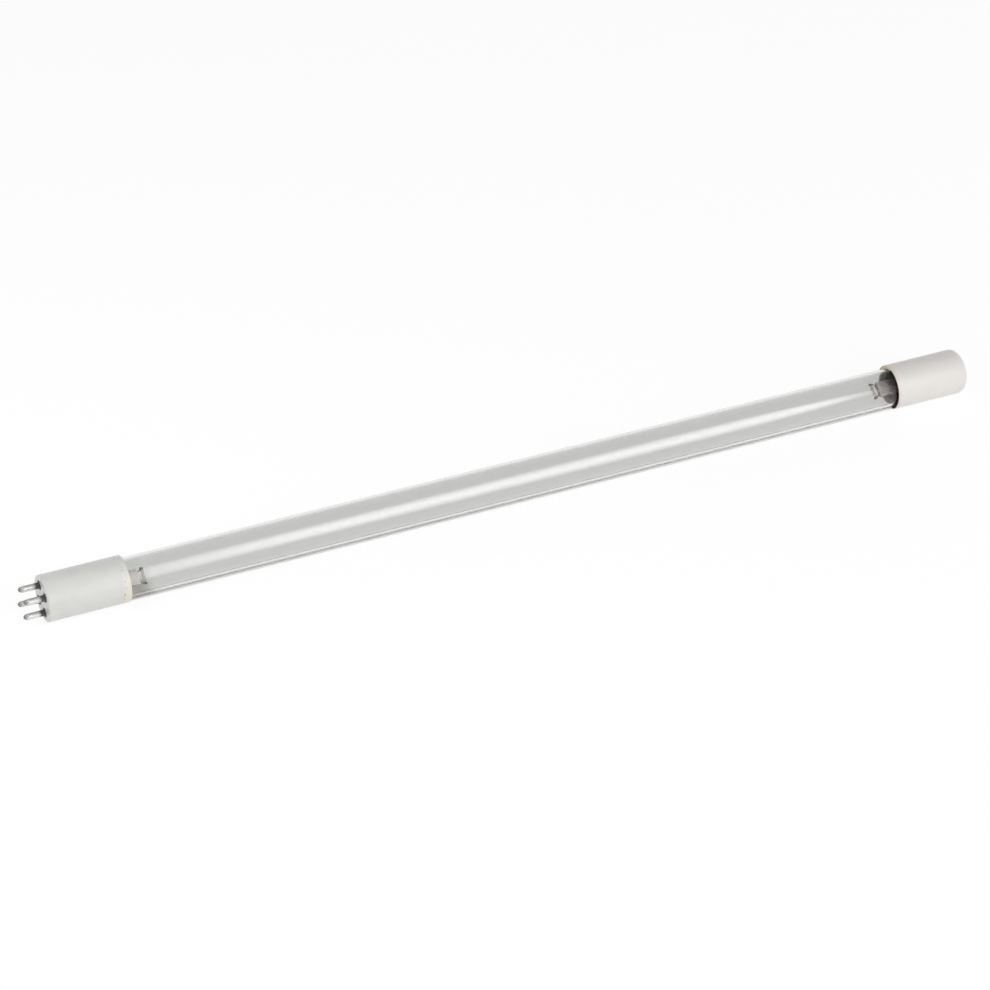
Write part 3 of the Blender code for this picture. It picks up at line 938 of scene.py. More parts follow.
@dataclass
class CeramicCap:
    """What the two ceramic cups share: a rounded outer end, a straight side and a flared mouth."""

    lamp: LampFrame
    length: float = 31.0 * MM
    edge: float = 0.6 * MM
    floor: float = 6.0 * MM
    bore: float = 8.15 * MM
    mouth: float = 8.45 * MM
    flare: float = 1.4 * MM
    lip_depth: float = 0.22 * MM
    lip_length: float = 0.9 * MM
    segments: int = 128

    def profile(self) -> Profile:
        """The cup's section, from the centre of its outer end to the centre of its bore's floor.

        Returns:
            Points as (distance from the outer end, radius).
        """
        outer = self.lamp.radius
        holding, lip_break = 0.2 * MM, 0.04 * MM
        points = [(0.0, 0.0), (0.0, outer - self.edge - holding)]
        points += arc((self.edge, outer - self.edge), self.edge, 180.0, 90.0, 16)
        for degrees in range(90, -1, -10):
            angle = math.radians(degrees)
            x = self.length - self.lip_length * (1 - math.cos(angle))
            points.append((x, outer - self.lip_depth * (1 - math.sin(angle))))
        points += [
            (self.length - lip_break, self.mouth),
            (self.length - self.flare, self.bore),
            (self.floor + holding, self.bore),
            (self.floor, self.bore - holding),
            (self.floor, 0.0),
        ]
        return points


@dataclass
class PinBase(CeramicCap):
    """The four-pin base, with a stepped hole for each pin."""

    pins: "ContactPins" = field(kw_only=True)
    seat_radius: float = 1.85 * MM
    seat_depth: float = 0.6 * MM
    hole_radius: float = 1.3 * MM

    def mesh(self) -> bpy.types.Mesh:
        """Builds the cup and cuts its pin holes.

        Returns:
            The cut cup.
        """
        cup = add_object("cup", self.lamp.turned("base_cup", self.profile(), self.segments))
        past = 1.0 * MM
        hole = [
            (-past, 0.0),
            (-past, self.seat_radius + past),
            (0.12 * MM, self.seat_radius - 0.02 * MM),
            (self.seat_depth, self.seat_radius - 0.05 * MM),
            (self.seat_depth, self.hole_radius),
            (self.floor + past, self.hole_radius),
            (self.floor + past, 0.0),
        ]
        cutters = []
        for number, place in enumerate(self.pins.places(), 1):
            shape = self.lamp.turned("cutter", hole, self.pins.segments, centre=place)
            cutter = add_object(f"cutter_{number}", shape)
            modifier = cup.modifiers.new(cutter.name, "BOOLEAN")
            modifier.operation = "DIFFERENCE"
            modifier.solver = "EXACT"
            modifier.object = cutter
            cutters.append(cutter)
        bpy.context.view_layer.update()
        data = bpy.data.meshes.new_from_object(cup.evaluated_get(bpy.context.evaluated_depsgraph_get()))
        data.name = "base_cap"
        data.shade_smooth()
        data.set_sharp_from_angle(angle=math.radians(30.0))
        for item in [cup, *cutters]:
            bpy.data.objects.remove(item)
        return data


@dataclass
class EndCap(CeramicCap):
    """The closed cap of the far end, rounder at its shoulder."""

    edge: float = 3.0 * MM
    floor: float = 4.0 * MM

    def mesh(self) -> bpy.types.Mesh:
        """Builds the cup, turned to face the base."""
        mirrored = [(self.lamp.length - x, radius) for x, radius in self.profile()]
        return self.lamp.turned("end_cap", mirrored, self.segments)


@dataclass
class ContactPins:
    """Four plated pins at the corners of a rectangle."""

    lamp: LampFrame
    wide: float = 7.92 * MM
    narrow: float = 6.35 * MM
    clock: float = math.radians(15.0)
    length: float = 7.9 * MM
    radius: float = 1.175 * MM
    nose: float = 2.2 * MM
    shoulder: float = 1.6 * MM
    tail: float = 6.8 * MM
    bluntness: float = 0.8
    segments: int = 48

    def places(self) -> list[tuple[float, float]]:
        """Places the pins.

        Returns:
            The centre of each, as (radius, clock).
        """
        half_angle = math.atan2(self.narrow, self.wide)
        radius = math.hypot(self.wide, self.narrow) / 2
        pairs = (self.clock, self.clock + math.pi)
        return [(radius, pair + sign * half_angle) for pair in pairs for sign in (-1, 1)]

    def profile(self) -> Profile:
        """A pin's section, from its bullet tip to its spread tail.

        Returns:
            Points as (x, radius), closed at both ends.
        """
        steps = 14
        tip = []
        for i in range(steps + 1):
            angle = math.radians(90.0 * i / steps)
            x = -self.length + self.nose * (1 - math.cos(angle))
            tip.append((x, self.radius * math.sin(angle) ** self.bluntness))
        return tip + [
            (-0.62 * MM, self.radius),
            (-0.45 * MM, self.radius + 0.03 * MM),
            (-0.32 * MM, self.shoulder - 0.05 * MM),
            (-0.27 * MM, self.shoulder),
            (0.5 * MM, self.shoulder),
            (0.5 * MM, self.radius),
            (6.1 * MM, self.radius),
            (6.35 * MM, self.shoulder),
            (self.tail, self.shoulder - 0.1 * MM),
            (self.tail, 0.0),
        ]

    def dress(self, finish: PlatedPin) -> None:
        """Adds the four pins.

        Args:
            finish: Their plating.
        """
        material = finish.material()
        for number, place in enumerate(self.places(), 1):
            data = self.lamp.turned(f"pin_{number}", self.profile(), self.segments, centre=place)
            add_piece(f"pin_{number}", data, material, "dull_nickel", f"contact_pin_{number}")


@dataclass
class ClearTube:
    """The clear tube, with fire-polished ends inside the caps."""

    lamp: LampFrame
    radius: float = 7.5 * MM
    wall: float = 1.0 * MM
    inset: float = 11.0 * MM
    segments: int = 160
    rows: int = 72

    def mesh(self) -> bpy.types.Mesh:
        """Builds the tube's wall in short rows, closed round its rims.

        Returns:
            The tube.
        """
        half = self.wall / 2
        middle = self.radius - half
        start = self.inset + half
        end = self.lamp.length - self.inset - half
        rows = [start + (end - start) * k / self.rows for k in range(1, self.rows)]
        section = [(x, self.radius) for x in rows]
        section += arc((end, middle), half, 90.0, -90.0, 12)
        section += [(x, self.radius - self.wall) for x in reversed(rows)]
        section += arc((start, middle), half, -90.0, -270.0, 12)
        return self.lamp.turned("tube", section, self.segments, closed=True)


@dataclass
class ElectrodeMount:
    """A glass stem with its press, two support leads and the coiled filament across them."""

    lamp: LampFrame
    end: End
    roll: float
    lean: float = 0.0
    lean_clock: float = math.radians(144.0)
    sides: int = 48
    rim_x: float = 11.0 * MM
    rim_radius: float = 6.2 * MM
    wall: float = 0.9 * MM
    neck_radius: float = 3.2 * MM
    neck_x: float = 17.5 * MM
    hollow_end: float = 25.0 * MM
    press_x: float = 28.5 * MM
    press_tip: float = 36.1 * MM
    press_half_width: float = 3.0 * MM
    press_half_thickness: float = 1.2 * MM
    squareness: float = 2.6
    lead_offset: float = 1.9 * MM
    filament_x: float = 37.9 * MM
    hook_offset: float = 2.9 * MM
    hook_radius: float = 0.42 * MM
    wire_radius: float = 0.2 * MM
    coil_radius: float = 0.5 * MM
    coil_half_length: float = 2.3 * MM
    coil_turns: int = 9
    fine_radius: float = 0.11 * MM
    fine_wire: float = 0.04 * MM
    fine_pitch: float = 0.1 * MM
    matrix: Matrix = field(init=False)

    def __post_init__(self) -> None:
        """Places the mount's own frame: x inwards from the cap's outer end, y along the filament.

        A mount that was sealed in a little crooked leans from its flare, with its tip off the axis.
        """
        far = self.end is End.FAR
        start = self.lamp.at(self.lamp.length if far else 0.0, 0.0, 0.0)
        turn = Matrix.Rotation(math.pi if far else 0.0, 4, "Z")
        flare = Matrix.Translation((self.rim_x, 0.0, 0.0))
        tip_side = Vector((0.0, -math.sin(self.lean_clock), math.cos(self.lean_clock)))
        hinge = Vector((1.0, 0.0, 0.0)).cross(tip_side)
        leaning = flare @ Matrix.Rotation(self.lean, 4, hinge) @ flare.inverted()
        self.matrix = Matrix.Translation(start) @ turn @ leaning @ Matrix.Rotation(self.roll, 4, "X")

    def ring(
        self, x: float, half_width: float, half_thickness: float | None = None, squareness: float = 1.0
    ) -> list[Vector]:
        """One ring of the stem.

        Args:
            x: Distance from the cap's outer end.
            half_width: Half its width along the filament.
            half_thickness: Half its thickness across, or None for as thick as wide.
            squareness: 1 for round, more for nearly rectangular.

        Returns:
            The ring's points in the row frame.
        """
        depth = half_width if half_thickness is None else half_thickness
        ring = []
        for c, s in unit_circle(self.sides):
            wide = math.copysign(abs(c) ** (1 / squareness), c)
            thick = math.copysign(abs(s) ** (1 / squareness), s)
            ring.append(self.matrix @ Vector((x, half_width * wide, depth * thick)))
        return ring

    def flare(self, x: float) -> float:
        """Outer radius of the stem between its flared rim and its neck."""
        t = min(1.0, (x - self.rim_x) / (self.neck_x - self.rim_x))
        return self.neck_radius + (self.rim_radius - self.neck_radius) * (1 - t) ** 1.8

    def stem_mesh(self) -> bpy.types.Mesh:
        """Builds the stem: up its hollow to the rim, then down its outside to the rounded press.

        Returns:
            The stem.
        """
        steps = 18
        flare_x = [self.rim_x + (self.neck_x - self.rim_x) * k / steps for k in range(steps + 1)]
        inner = self.neck_radius - self.wall
        rings = []
        for degrees in range(15, 91, 15):
            angle = math.radians(degrees)
            rings.append(self.ring(self.hollow_end - inner * (1 - math.cos(angle)), inner * math.sin(angle)))
        rings += [self.ring(x, self.flare(x) - self.wall) for x in reversed(flare_x)]
        half_wall = self.wall / 2
        middle = self.rim_radius - half_wall
        for degrees in (45, 90, 135):
            angle = math.radians(degrees)
            x = self.rim_x - half_wall * math.sin(angle)
            rings.append(self.ring(x, middle - half_wall * math.cos(angle)))
        rings += [self.ring(x, self.flare(x)) for x in flare_x]
        shoulder = self.hollow_end - 1.0 * MM
        rings.append(self.ring(shoulder, self.neck_radius))
        blend_steps = 14
        for k in range(1, blend_steps + 1):
            t = k / blend_steps
            ease = t * t * (3 - 2 * t)
            x = shoulder + (self.press_x - shoulder) * t
            width = self.neck_radius + (self.press_half_width - self.neck_radius) * ease
            thickness = self.neck_radius + (self.press_half_thickness - self.neck_radius) * ease
            rings.append(self.ring(x, width, thickness, 1.0 + (self.squareness - 1.0) * ease))
        edge, unevenness = 0.6 * MM, 0.06 * MM
        pinch_steps = 9
        for k in range(1, pinch_steps):
            t = k / pinch_steps
            x = self.press_x + (self.press_tip - edge - self.press_x) * t
            waist = unevenness * math.sin(3 * math.pi * t)
            width = self.press_half_width + waist
            rings.append(self.ring(x, width, self.press_half_thickness - waist, self.squareness))
        for degrees in range(0, 91, 15):
            angle = math.radians(degrees)
            shrink = edge * (1 - math.cos(angle))
            x = self.press_tip - edge + edge * math.sin(angle)
            width = self.press_half_width - shrink
            rings.append(self.ring(x, width, self.press_half_thickness - shrink, self.squareness))
        return skinned(f"{self.end.value}_stem", rings, sharp_angle=80.0)

    def support_points(self, sign: int) -> list[Vector]:
        """Route of a support lead: a hook round the filament's leg, then back through the press.

        Args:
            sign: 1 or -1, for the side of the press.

        Returns:
            The route's points, in the mount's frame.
        """
        points = []
        for degrees in (170, 135, 100, 65, 30, -5, -40, -75):
            angle = math.radians(degrees)
            across = self.hook_offset + 0.12 * MM * degrees / 150
            x = self.filament_x + self.hook_radius * math.cos(angle)
            points.append(Vector((x, sign * across, self.hook_radius * math.sin(angle))))
        points += [
            Vector((self.press_tip + 1.0 * MM, sign * (self.lead_offset + 0.6 * MM), -0.3 * MM)),
            Vector((self.press_tip + 0.45 * MM, sign * (self.lead_offset + 0.15 * MM), -0.06 * MM)),
            Vector((self.press_tip - 0.05 * MM, sign * self.lead_offset, 0.0)),
            Vector((self.neck_x + 1.0 * MM, sign * self.lead_offset, 0.0)),
            Vector((self.neck_x - 1.0 * MM, sign * self.lead_offset, 0.0)),
        ]
        return points

    def coil_route(self) -> list[Vector]:
        """Centre line of the fine coil, which is itself wound in a coil across the tube.

        Returns:
            Points in the mount's frame.
        """
        per_turn = 40
        count = self.coil_turns * per_turn
        leg = 3.35 * MM
        start = self.coil_half_length + 0.35 * MM
        route = [Vector((self.filament_x, -leg + (leg - start) * k / 6, 0.0)) for k in range(6)]
        for k in range(count + 1):
            t = k / count
            angle = FULL_TURN * self.coil_turns * t
            radius = self.coil_radius * min(1.0, self.coil_turns * min(t, 1 - t) * 1.5 + 0.05)
            y = self.coil_half_length * (2 * t - 1)
            route.append(Vector((self.filament_x + radius * math.cos(angle), y, radius * math.sin(angle))))
        route += [Vector((self.filament_x, leg - (leg - start) * k / 6, 0.0)) for k in range(5, -1, -1)]
        return route

    def filament_mesh(self) -> bpy.types.Mesh:
        """Winds the fine tungsten wire round the coil's centre line.

        Returns:
            The coiled coil as a mesh.
        """
        centre = self.coil_route()
        points_per_turn = 9
        side = Vector((1.0, 0.0, 0.0))
        route = []
        travelled = 0.0
        step = self.fine_pitch / points_per_turn
        for start, end in zip(centre, centre[1:]):
            along = (end - start).normalized()
            side = (side - side.dot(along) * along).normalized()
            other = along.cross(side)
            length = (end - start).length
            place = math.ceil(travelled / step) * step - travelled
            while place < length:
                angle = FULL_TURN * (travelled + place) / self.fine_pitch
                point = start + along * place + self.fine_radius * (
                    math.cos(angle) * side + math.sin(angle) * other
                )
                route.append(self.matrix @ point)
                place += step
            travelled += length
        return wire_mesh(f"{self.end.value}_filament", route, self.fine_wire, sides=6)


@dataclass
class Wiring:
    """The six leads, their sleeves, and the splices where the return leads meet the far mount."""

    lamp: LampFrame
    base: ElectrodeMount
    far: ElectrodeMount
    pins: ContactPins
    cap_length: float = 31.0 * MM
    far_floor: float = 4.0 * MM
    wire_radius: float = 0.2 * MM
    sleeve_radius: float = 0.42 * MM
    sleeve_bore: float = 0.29 * MM
    under_tube: float = 8.02 * MM
    in_cap: float = 7.805 * MM
    clocks: dict[str, float] = field(
        default_factory=lambda: {"a": math.radians(151.8), "b": math.radians(160.2)}
    )
    crimp_length: float = 4.5 * MM
    crimp_radius: float = 0.62 * MM
    crimp_dent: float = 0.5 * MM
    crimp_bore: float = 0.3 * MM
    crimp_offset: float = 2.6 * MM
    crimp_back: float = 13.2 * MM
    inside_pin: float = -3.0 * MM
    bend_step: float = 0.25 * MM
    under_steps: int = 180
    clamp_radius: float = 0.36 * MM
    clamp_length: float = 1.5 * MM

    @property
    def crimp_x(self) -> float:
        """Where the splices start."""
        return self.lamp.length - self.crimp_back

    def pin_point(self, number: int, x: float) -> Vector:
        """A point on a pin's own line."""
        return self.lamp.at(x, *self.pins.places()[number])

    def splice(self, sign: int, x: float) -> Vector:
        """A point on a splice's own line."""
        place = self.far.matrix @ Vector((0.0, sign * self.crimp_offset, 0.0))
        return Vector((self.lamp.pin_face + x, place.y, place.z))

    def base_route(self, side: str) -> list[Vector]:
        """Support lead of the base end, carried on through the chamber into its pin.

        Args:
            side: "a" or "b".

        Returns:
            Points along the lead.
        """
        sign, number = {"a": (1, 0), "b": (-1, 1)}[side]
        axis = self.lamp.at(0.0, 0.0, 0.0)
        chamber = {
            "a": [(12.8 * MM, 1.4 * MM, 2.0 * MM), (9.6 * MM, 1.95 * MM, 4.2 * MM)],
            "b": [(12.8 * MM, -2.2 * MM, 0.5 * MM), (9.6 * MM, -3.8 * MM, 2.6 * MM)],
        }
        points = [self.base.matrix @ point for point in self.base.support_points(sign)]
        points += [axis + Vector(point) for point in chamber[side]]
        for x in (self.pins.tail + 0.7 * MM, self.pins.tail - 0.8 * MM, self.inside_pin):
            points.append(self.pin_point(number, x))
        return smooth_route(points, self.bend_step)

    def far_route(self, side: str) -> list[Vector]:
        """Support lead of the far end, carried on into its splice.

        Args:
            side: "a" or "b".

        Returns:
            Points along the lead.
        """
        sign = {"a": 1, "b": -1}[side]
        points = [self.far.matrix @ point for point in self.far.support_points(sign)]
        for x in (-0.4 * MM, 0.6 * MM, 0.42 * self.crimp_length):
            points.append(self.splice(sign, self.crimp_x + x))
        return smooth_route(points, self.bend_step)

    def return_route(self, side: str) -> list[Vector]:
        """A return lead: out of its pin, along the underside of the tube, and round into its splice.

        Args:
            side: "a" or "b".

        Returns:
            Points along the lead.
        """
        sign, number = {"a": (-1, 2), "b": (1, 3)}[side]
        clock = self.clocks[side]
        far_mouth = self.lamp.length - self.cap_length
        tube_start = self.base.rim_x
        tube_end = self.lamp.length - tube_start
        inner, outer = self.in_cap, self.under_tube
        points = [self.pin_point(number, x) for x in (self.inside_pin, self.pins.tail - 0.8 * MM)]
        points.append(self.pin_point(number, self.pins.tail + 0.3 * MM))
        turn = tube_start - 2.0 * MM
        points.append(self.pin_point(number, turn).lerp(self.lamp.at(turn, inner, clock), 0.6))
        stations = (
            (tube_start - 0.3 * MM, inner),
            (tube_start + 1.2 * MM, inner),
            (self.cap_length - 3.0 * MM, inner),
            (self.cap_length - 1.9 * MM, inner),
            (self.cap_length - 0.1 * MM, outer),
            (self.cap_length + 0.6 * MM, outer),
            (far_mouth - 0.6 * MM, outer),
            (far_mouth + 0.1 * MM, outer),
            (far_mouth + 1.9 * MM, inner),
            (far_mouth + 3.0 * MM, inner),
            (tube_end - 1.2 * MM, inner),
            (tube_end + 0.5 * MM, inner),
        )
        points += [self.lamp.at(x, radius, clock) for x, radius in stations]
        turn = self.lamp.length - self.far_floor - 1.0 * MM
        for share, back in ((0.12, 2.2 * MM), (0.35, 0.3 * MM), (0.65, 0.0), (0.9, 1.2 * MM)):
            x = turn - back
            points.append(self.lamp.at(x, inner, clock).lerp(self.splice(sign, x), share))
        crimp_end = self.crimp_x + self.crimp_length
        for x in (0.5 * MM, -0.6 * MM, -0.42 * self.crimp_length):
            points.append(self.splice(sign, crimp_end + x))
        return smooth_route(points, self.bend_step)

    def clamped(self, route: Sequence[Vector]) -> list[float]:
        """Radii of a support lead, whose hook is squeezed flat and wide round the filament's leg.

        Args:
            route: Points along the lead, from its hook.

        Returns:
            One radius for each point.
        """
        travelled = 0.0
        radii = []
        for before, place in zip([route[0], *route], route):
            travelled += (place - before).length
            share = min(1.0, max(0.0, travelled / self.clamp_length - 1.0))
            radii.append(self.clamp_radius + (self.wire_radius - self.clamp_radius) * share)
        return radii

    def under_route(self, side: str) -> list[Vector]:
        """Centre line of the long sleeve, in short steps from one cap's mouth to the other's.

        Args:
            side: "a" or "b".

        Returns:
            Points along the sleeve.
        """
        start = self.cap_length + 0.15 * MM
        step = (self.lamp.length - 2 * start) / self.under_steps
        xs = [start + step * k for k in range(self.under_steps + 1)]
        return [self.lamp.at(x, self.under_tube, self.clocks[side]) for x in xs]

    def sleeve_mesh(self, name: str, route: Sequence[Vector], sides: int = 32) -> bpy.types.Mesh:
        """A braided sleeve along a route, crimped in a little at both ends.

        Args:
            name: Name of the mesh.
            route: Points along the sleeve.
            sides: Number of sides.

        Returns:
            The sleeve, open along its bore.
        """
        gather = 0.18
        outside = rings_along(route, self.sleeve_radius, sides)
        for end in (0, -1):
            outside[end] = [point.lerp(route[end], gather) for point in outside[end]]
        inside = rings_along(route, self.sleeve_bore, sides)
        return skinned(name, outside + inside[::-1], closed=True, sharp_angle=50.0)

    def crimp_mesh(self, name: str, sign: int) -> bpy.types.Mesh:
        """A splice barrel with a soft dent pressed in each half.

        Args:
            name: Name of the mesh.
            sign: 1 or -1, for its side of the mount.

        Returns:
            The barrel.
        """
        start = self.splice(sign, self.crimp_x)
        steps, sides = 40, 32
        dents, dent_width = (0.28, 0.72), 0.075
        sizes = []
        for k in range(steps + 1):
            t = k / steps
            dent = sum(math.exp(-(((t - centre) / dent_width) ** 2)) for centre in dents)
            radius = self.crimp_radius + (self.crimp_dent - self.crimp_radius) * dent
            sizes.append((self.crimp_length * t, radius))
        sizes += [(self.crimp_length, self.crimp_bore), (0.0, self.crimp_bore)]
        rings = []
        for x, radius in sizes:
            rings.append([start + Vector((x, radius * c, radius * s)) for c, s in unit_circle(sides)])
        return skinned(name, rings, closed=True)

    def dress(self, metal: DrawnMetal, sleeving: WovenSleeving, brass: DrawnMetal) -> None:
        """Adds the leads, sleeves and splices.

        Args:
            metal: Finish of the lead wires.
            sleeving: Finish of the sleeves.
            brass: Finish of the splices.
        """
        wire, sleeve, crimp = metal.material(), sleeving.material(), brass.material()
        for side, sign in (("a", -1), ("b", 1)):
            routes = {
                "base": self.base_route(side),
                "end": self.far_route(side),
                "return": self.return_route(side),
            }
            for kind, route in routes.items():
                name = f"{kind}_lead_{side}"
                radius = self.wire_radius if kind == "return" else self.clamped(route)
                data = wire_mesh(name, route, radius)
                add_piece(f"{kind}_wire_{side}", data, wire, "lead_nickel", name)
            low = self.lamp.pin_face + self.pins.tail + 0.9 * MM
            high = self.lamp.pin_face + self.base.rim_x + 4.5 * MM
            inside = [point for point in routes["base"] if low < point.x < high]
            name = f"base_lead_sleeve_{side}"
            add_piece(f"inner_sleeve_{side}", self.sleeve_mesh(name, inside), sleeve, "pale_sleeving", name)
            name = f"return_lead_sleeve_{side}"
            data = self.sleeve_mesh(name, self.under_route(side))
            add_piece(f"long_sleeve_{side}", data, sleeve, "pale_sleeving", name)
            name = f"crimp_splice_{side}"
            add_piece(f"splice_{side}", self.crimp_mesh(name, sign), crimp, "crimp_brass", name)


@dataclass
class CementRing:
    """Basing cement in the mouth of a cap, run a little way out along the tube."""

    lamp: LampFrame
    end: End
    start: float = 23.0 * MM
    cap_length: float = 31.0 * MM
    inner: float = 7.52 * MM
    outer: float = 8.12 * MM
    mouth: float = 8.42 * MM
    steps: int = 240
    ripple: float = 0.16 * MM
    smear: float = 0.12 * MM

    def mesh(self) -> bpy.types.Mesh:
        """Builds the ring with an uneven face.

        Returns:
            The ring.
        """
        face = self.cap_length - 0.35 * MM
        rings = []
        for k in range(self.steps):
            clock = FULL_TURN * k / self.steps
            where = Vector((9 * math.cos(clock), 9 * math.sin(clock), 3.0 if self.end is End.FAR else 7.0))
            uneven = self.ripple * noise.fractal(where, 0.8, 2.0, 3)
            profile = [
                (self.start, self.inner),
                (self.start, self.outer),
                (self.cap_length - 1.45 * MM, self.outer),
                (face - 0.2 * MM, self.mouth - 0.06 * MM),
                (face + 0.3 * uneven, self.mouth - 0.08 * MM),
                (face - 0.18 * MM + uneven, self.mouth - 0.3 * MM),
                (face - 0.22 * MM + 1.3 * uneven, self.inner + 0.3 * MM),
                (face + 0.5 * self.smear + 1.5 * uneven, self.inner + 0.12 * MM),
                (face + self.smear + 1.6 * uneven, self.inner + 0.04 * MM),
                (face + self.smear + 0.1 * MM + 1.6 * uneven, self.inner),
            ]
            if self.end is End.FAR:
                profile = [(self.lamp.length - x, radius) for x, radius in profile]
            rings.append([self.lamp.at(x, radius, clock) for x, radius in profile])
        return skinned(f"{self.end.value}_cement", rings, closed=True, sharp_angle=70.0)


@dataclass
class MercuryDrop:
    """The dose of mercury, resting on the floor of the tube."""

    lamp: LampFrame
    radius: float = 0.5 * MM
    floor: float = 6.42 * MM
    back: float = 22.0 * MM
    flattening: float = 0.94

    def mesh(self) -> bpy.types.Mesh:
        """Builds the drop, slightly flattened by its weight.

        Returns:
            The drop.
        """
        shape = bmesh.new()
        bmesh.ops.create_icosphere(shape, subdivisions=5, radius=self.radius)
        bmesh.ops.scale(shape, vec=(1.0, 1.0, self.flattening), verts=shape.verts)
        centre = self.lamp.at(self.lamp.length - self.back, self.floor - self.radius, math.pi)
        bmesh.ops.translate(shape, vec=centre, verts=shape.verts)
        return finished_mesh("mercury_drop", shape)


# The studio


def placed(place: Vector, right: Vector, above: Vector, back: Vector) -> Matrix:
    """World matrix of a camera or lamp that looks away from its back.

    Args:
        place: Where it stands.
        right: Its right.
        above: Its up.
        back: Its back.

    Returns:
        The matrix.
    """
    return Matrix.Translation(place) @ Matrix((right, above, back)).transposed().to_4x4()


@dataclass(frozen=True)
class Camera:
    """The photograph's camera: a long lens above the base end."""

    azimuth: float = -23.615
    elevation: float = 33.363
    roll: float = -0.557
    distance: float = 1.3888
    aim_right: float = -5.979 * MM
    aim_up: float = -4.954 * MM
    focal_pixels: float = 3727.9
    frame_pixels: float = 990.0
    sensor: float = 36.0

    def add(self, axis_height: float) -> None:
        """Adds the camera.

        Args:
            axis_height: Height of the lamp's axis above the floor.
        """
        across, up = math.radians(self.azimuth), math.radians(self.elevation)
        back = Vector((math.sin(across) * math.cos(up), -math.cos(across) * math.cos(up), math.sin(up)))
        right = Vector((math.cos(across), math.sin(across), 0.0))
        above = back.cross(right)
        turn = Matrix.Rotation(math.radians(self.roll), 3, back)
        right, above = turn @ right, turn @ above
        aim = Vector((0.0, 0.0, axis_height)) + self.aim_right * right + self.aim_up * above
        data = bpy.data.cameras.new("camera")
        data.sensor_width = self.sensor
        data.lens = self.focal_pixels / self.frame_pixels * self.sensor
        data.clip_start = 0.05
        data.clip_end = 60.0
        item = add_object("camera", data)
        item.matrix_world = placed(aim + back * self.distance, right, above, back)
        bpy.context.scene.camera = item


@dataclass(frozen=True)
class Softbox:
    """A large soft lamp that fades towards its left end, its right end, and its top and bottom.

    Each fade is a share of the lamp's width or height. Its power is its radiance times its area times
    power_per_radiance.
    """

    name: str
    place: tuple[float, float, float]
    width: float
    height: float
    radiance: float
    fade: tuple[float, float, float] = (0.5, 0.5, 0.5)
    power_per_radiance: float = 4.0

    def add(self, aim_height: float) -> None:
        """Adds the softbox, with its width level along X.

        Args:
            aim_height: Height of the line that it faces.
        """
        data = bpy.data.lights.new(self.name, "AREA")
        data.shape = "RECTANGLE"
        data.size = self.width
        data.size_y = self.height
        data.energy = self.power_per_radiance * self.width * self.height * self.radiance
        data.use_nodes = True
        made = Nodes(data.node_tree)
        face = made.node("ShaderNodeNewGeometry").outputs["Parametric"]
        across, upwards = made.part(face, "X"), made.part(face, "Y")
        left, right, upright = self.fade
        strength = made.product(
            made.between(across, 0.0, left),
            made.between(across, 1.0, 1.0 - right),
            made.between(upwards, 0.0, upright),
            made.between(upwards, 1.0, 1.0 - upright),
        )
        made.feed(strength, made.tree.nodes["Emission"].inputs["Strength"])
        item = add_object(self.name, data)
        item.visible_camera = False
        back = Vector((0.0, self.place[1], self.place[2] - aim_height)).normalized()
        level = Vector((1.0, 0.0, 0.0))
        item.matrix_world = placed(Vector(self.place), level, back.cross(level), back)


@dataclass(frozen=True)
class Studio:
    """White floor, white surroundings that darken overhead, and two soft lamps.

    The camera, the metal and the glass all see the same floor and the same surroundings.
    """

    floor_size: float = 30.0
    floor_paint: float = 0.88
    floor_white: float = 0.18
    floor_glow: float = 0.88
    ambient: float = 0.8
    horizon: float = 1.0
    overhead: float = 0.3
    dark_height: float = 0.82
    key: Softbox = Softbox("key_softbox", (0.39, -1.06, 0.69), 0.78, 2.3, 2.85, (0.42, 0.1, 0.5))
    fill: Softbox = Softbox("fill_softbox", (-0.42, -0.05, 0.42), 0.8, 0.8, 1.15)

    def add_floor(self) -> None:
        """Adds the floor, whose own glow keeps it white while the lamp's shadow still falls on it."""
        shape = bmesh.new()
        bmesh.ops.create_grid(shape, x_segments=1, y_segments=1, size=self.floor_size / 2)
        floor = add_object("floor", finished_mesh("floor", shape))
        material = bpy.data.materials.new("white_floor")
        material.use_nodes = True
        made = Nodes(material.node_tree)
        made.tree.nodes.remove(made.tree.nodes["Principled BSDF"])
        glow = made.node("ShaderNodeEmission")
        made.feed(self.floor_glow, glow.inputs["Strength"])
        seen = made.node("ShaderNodeAddShader")
        made.feed(made.matt(self.floor_white), seen.inputs[0])
        made.feed(glow.outputs[0], seen.inputs[1])
        surface = made.mixed(made.seen_share(), made.matt(self.floor_paint), seen.outputs[0])
        made.feed(surface, made.tree.nodes["Material Output"].inputs["Surface"])
        floor.data.materials.append(material)

    def add_surroundings(self) -> None:
        """Adds the world: white at the horizon, darker overhead, and dimmer as ambient light."""
        world = bpy.data.worlds.new("studio")
        bpy.context.scene.world = world
        world.use_nodes = True
        made = Nodes(world.node_tree)
        height = made.part(made.node("ShaderNodeTexCoord").outputs["Generated"], "Z")
        sky = made.between(height, 0.0, self.dark_height, self.horizon, self.overhead)
        level = made.between(made.seen_share(), 0.0, 1.0, self.ambient, 1.0)
        background = made.tree.nodes["Background"].inputs
        made.feed(made.product(sky, level), background["Strength"])
        made.feed(WHITE, background["Color"])

    def add(self, axis_height: float) -> None:
        """Adds the whole studio.

        Args:
            axis_height: Height of the lamp's axis above the floor.
        """
        self.add_floor()
        self.add_surroundings()
        self.key.add(axis_height)
        self.fill.add(axis_height)
        bpy.context.scene.view_settings.view_transform = "Standard"


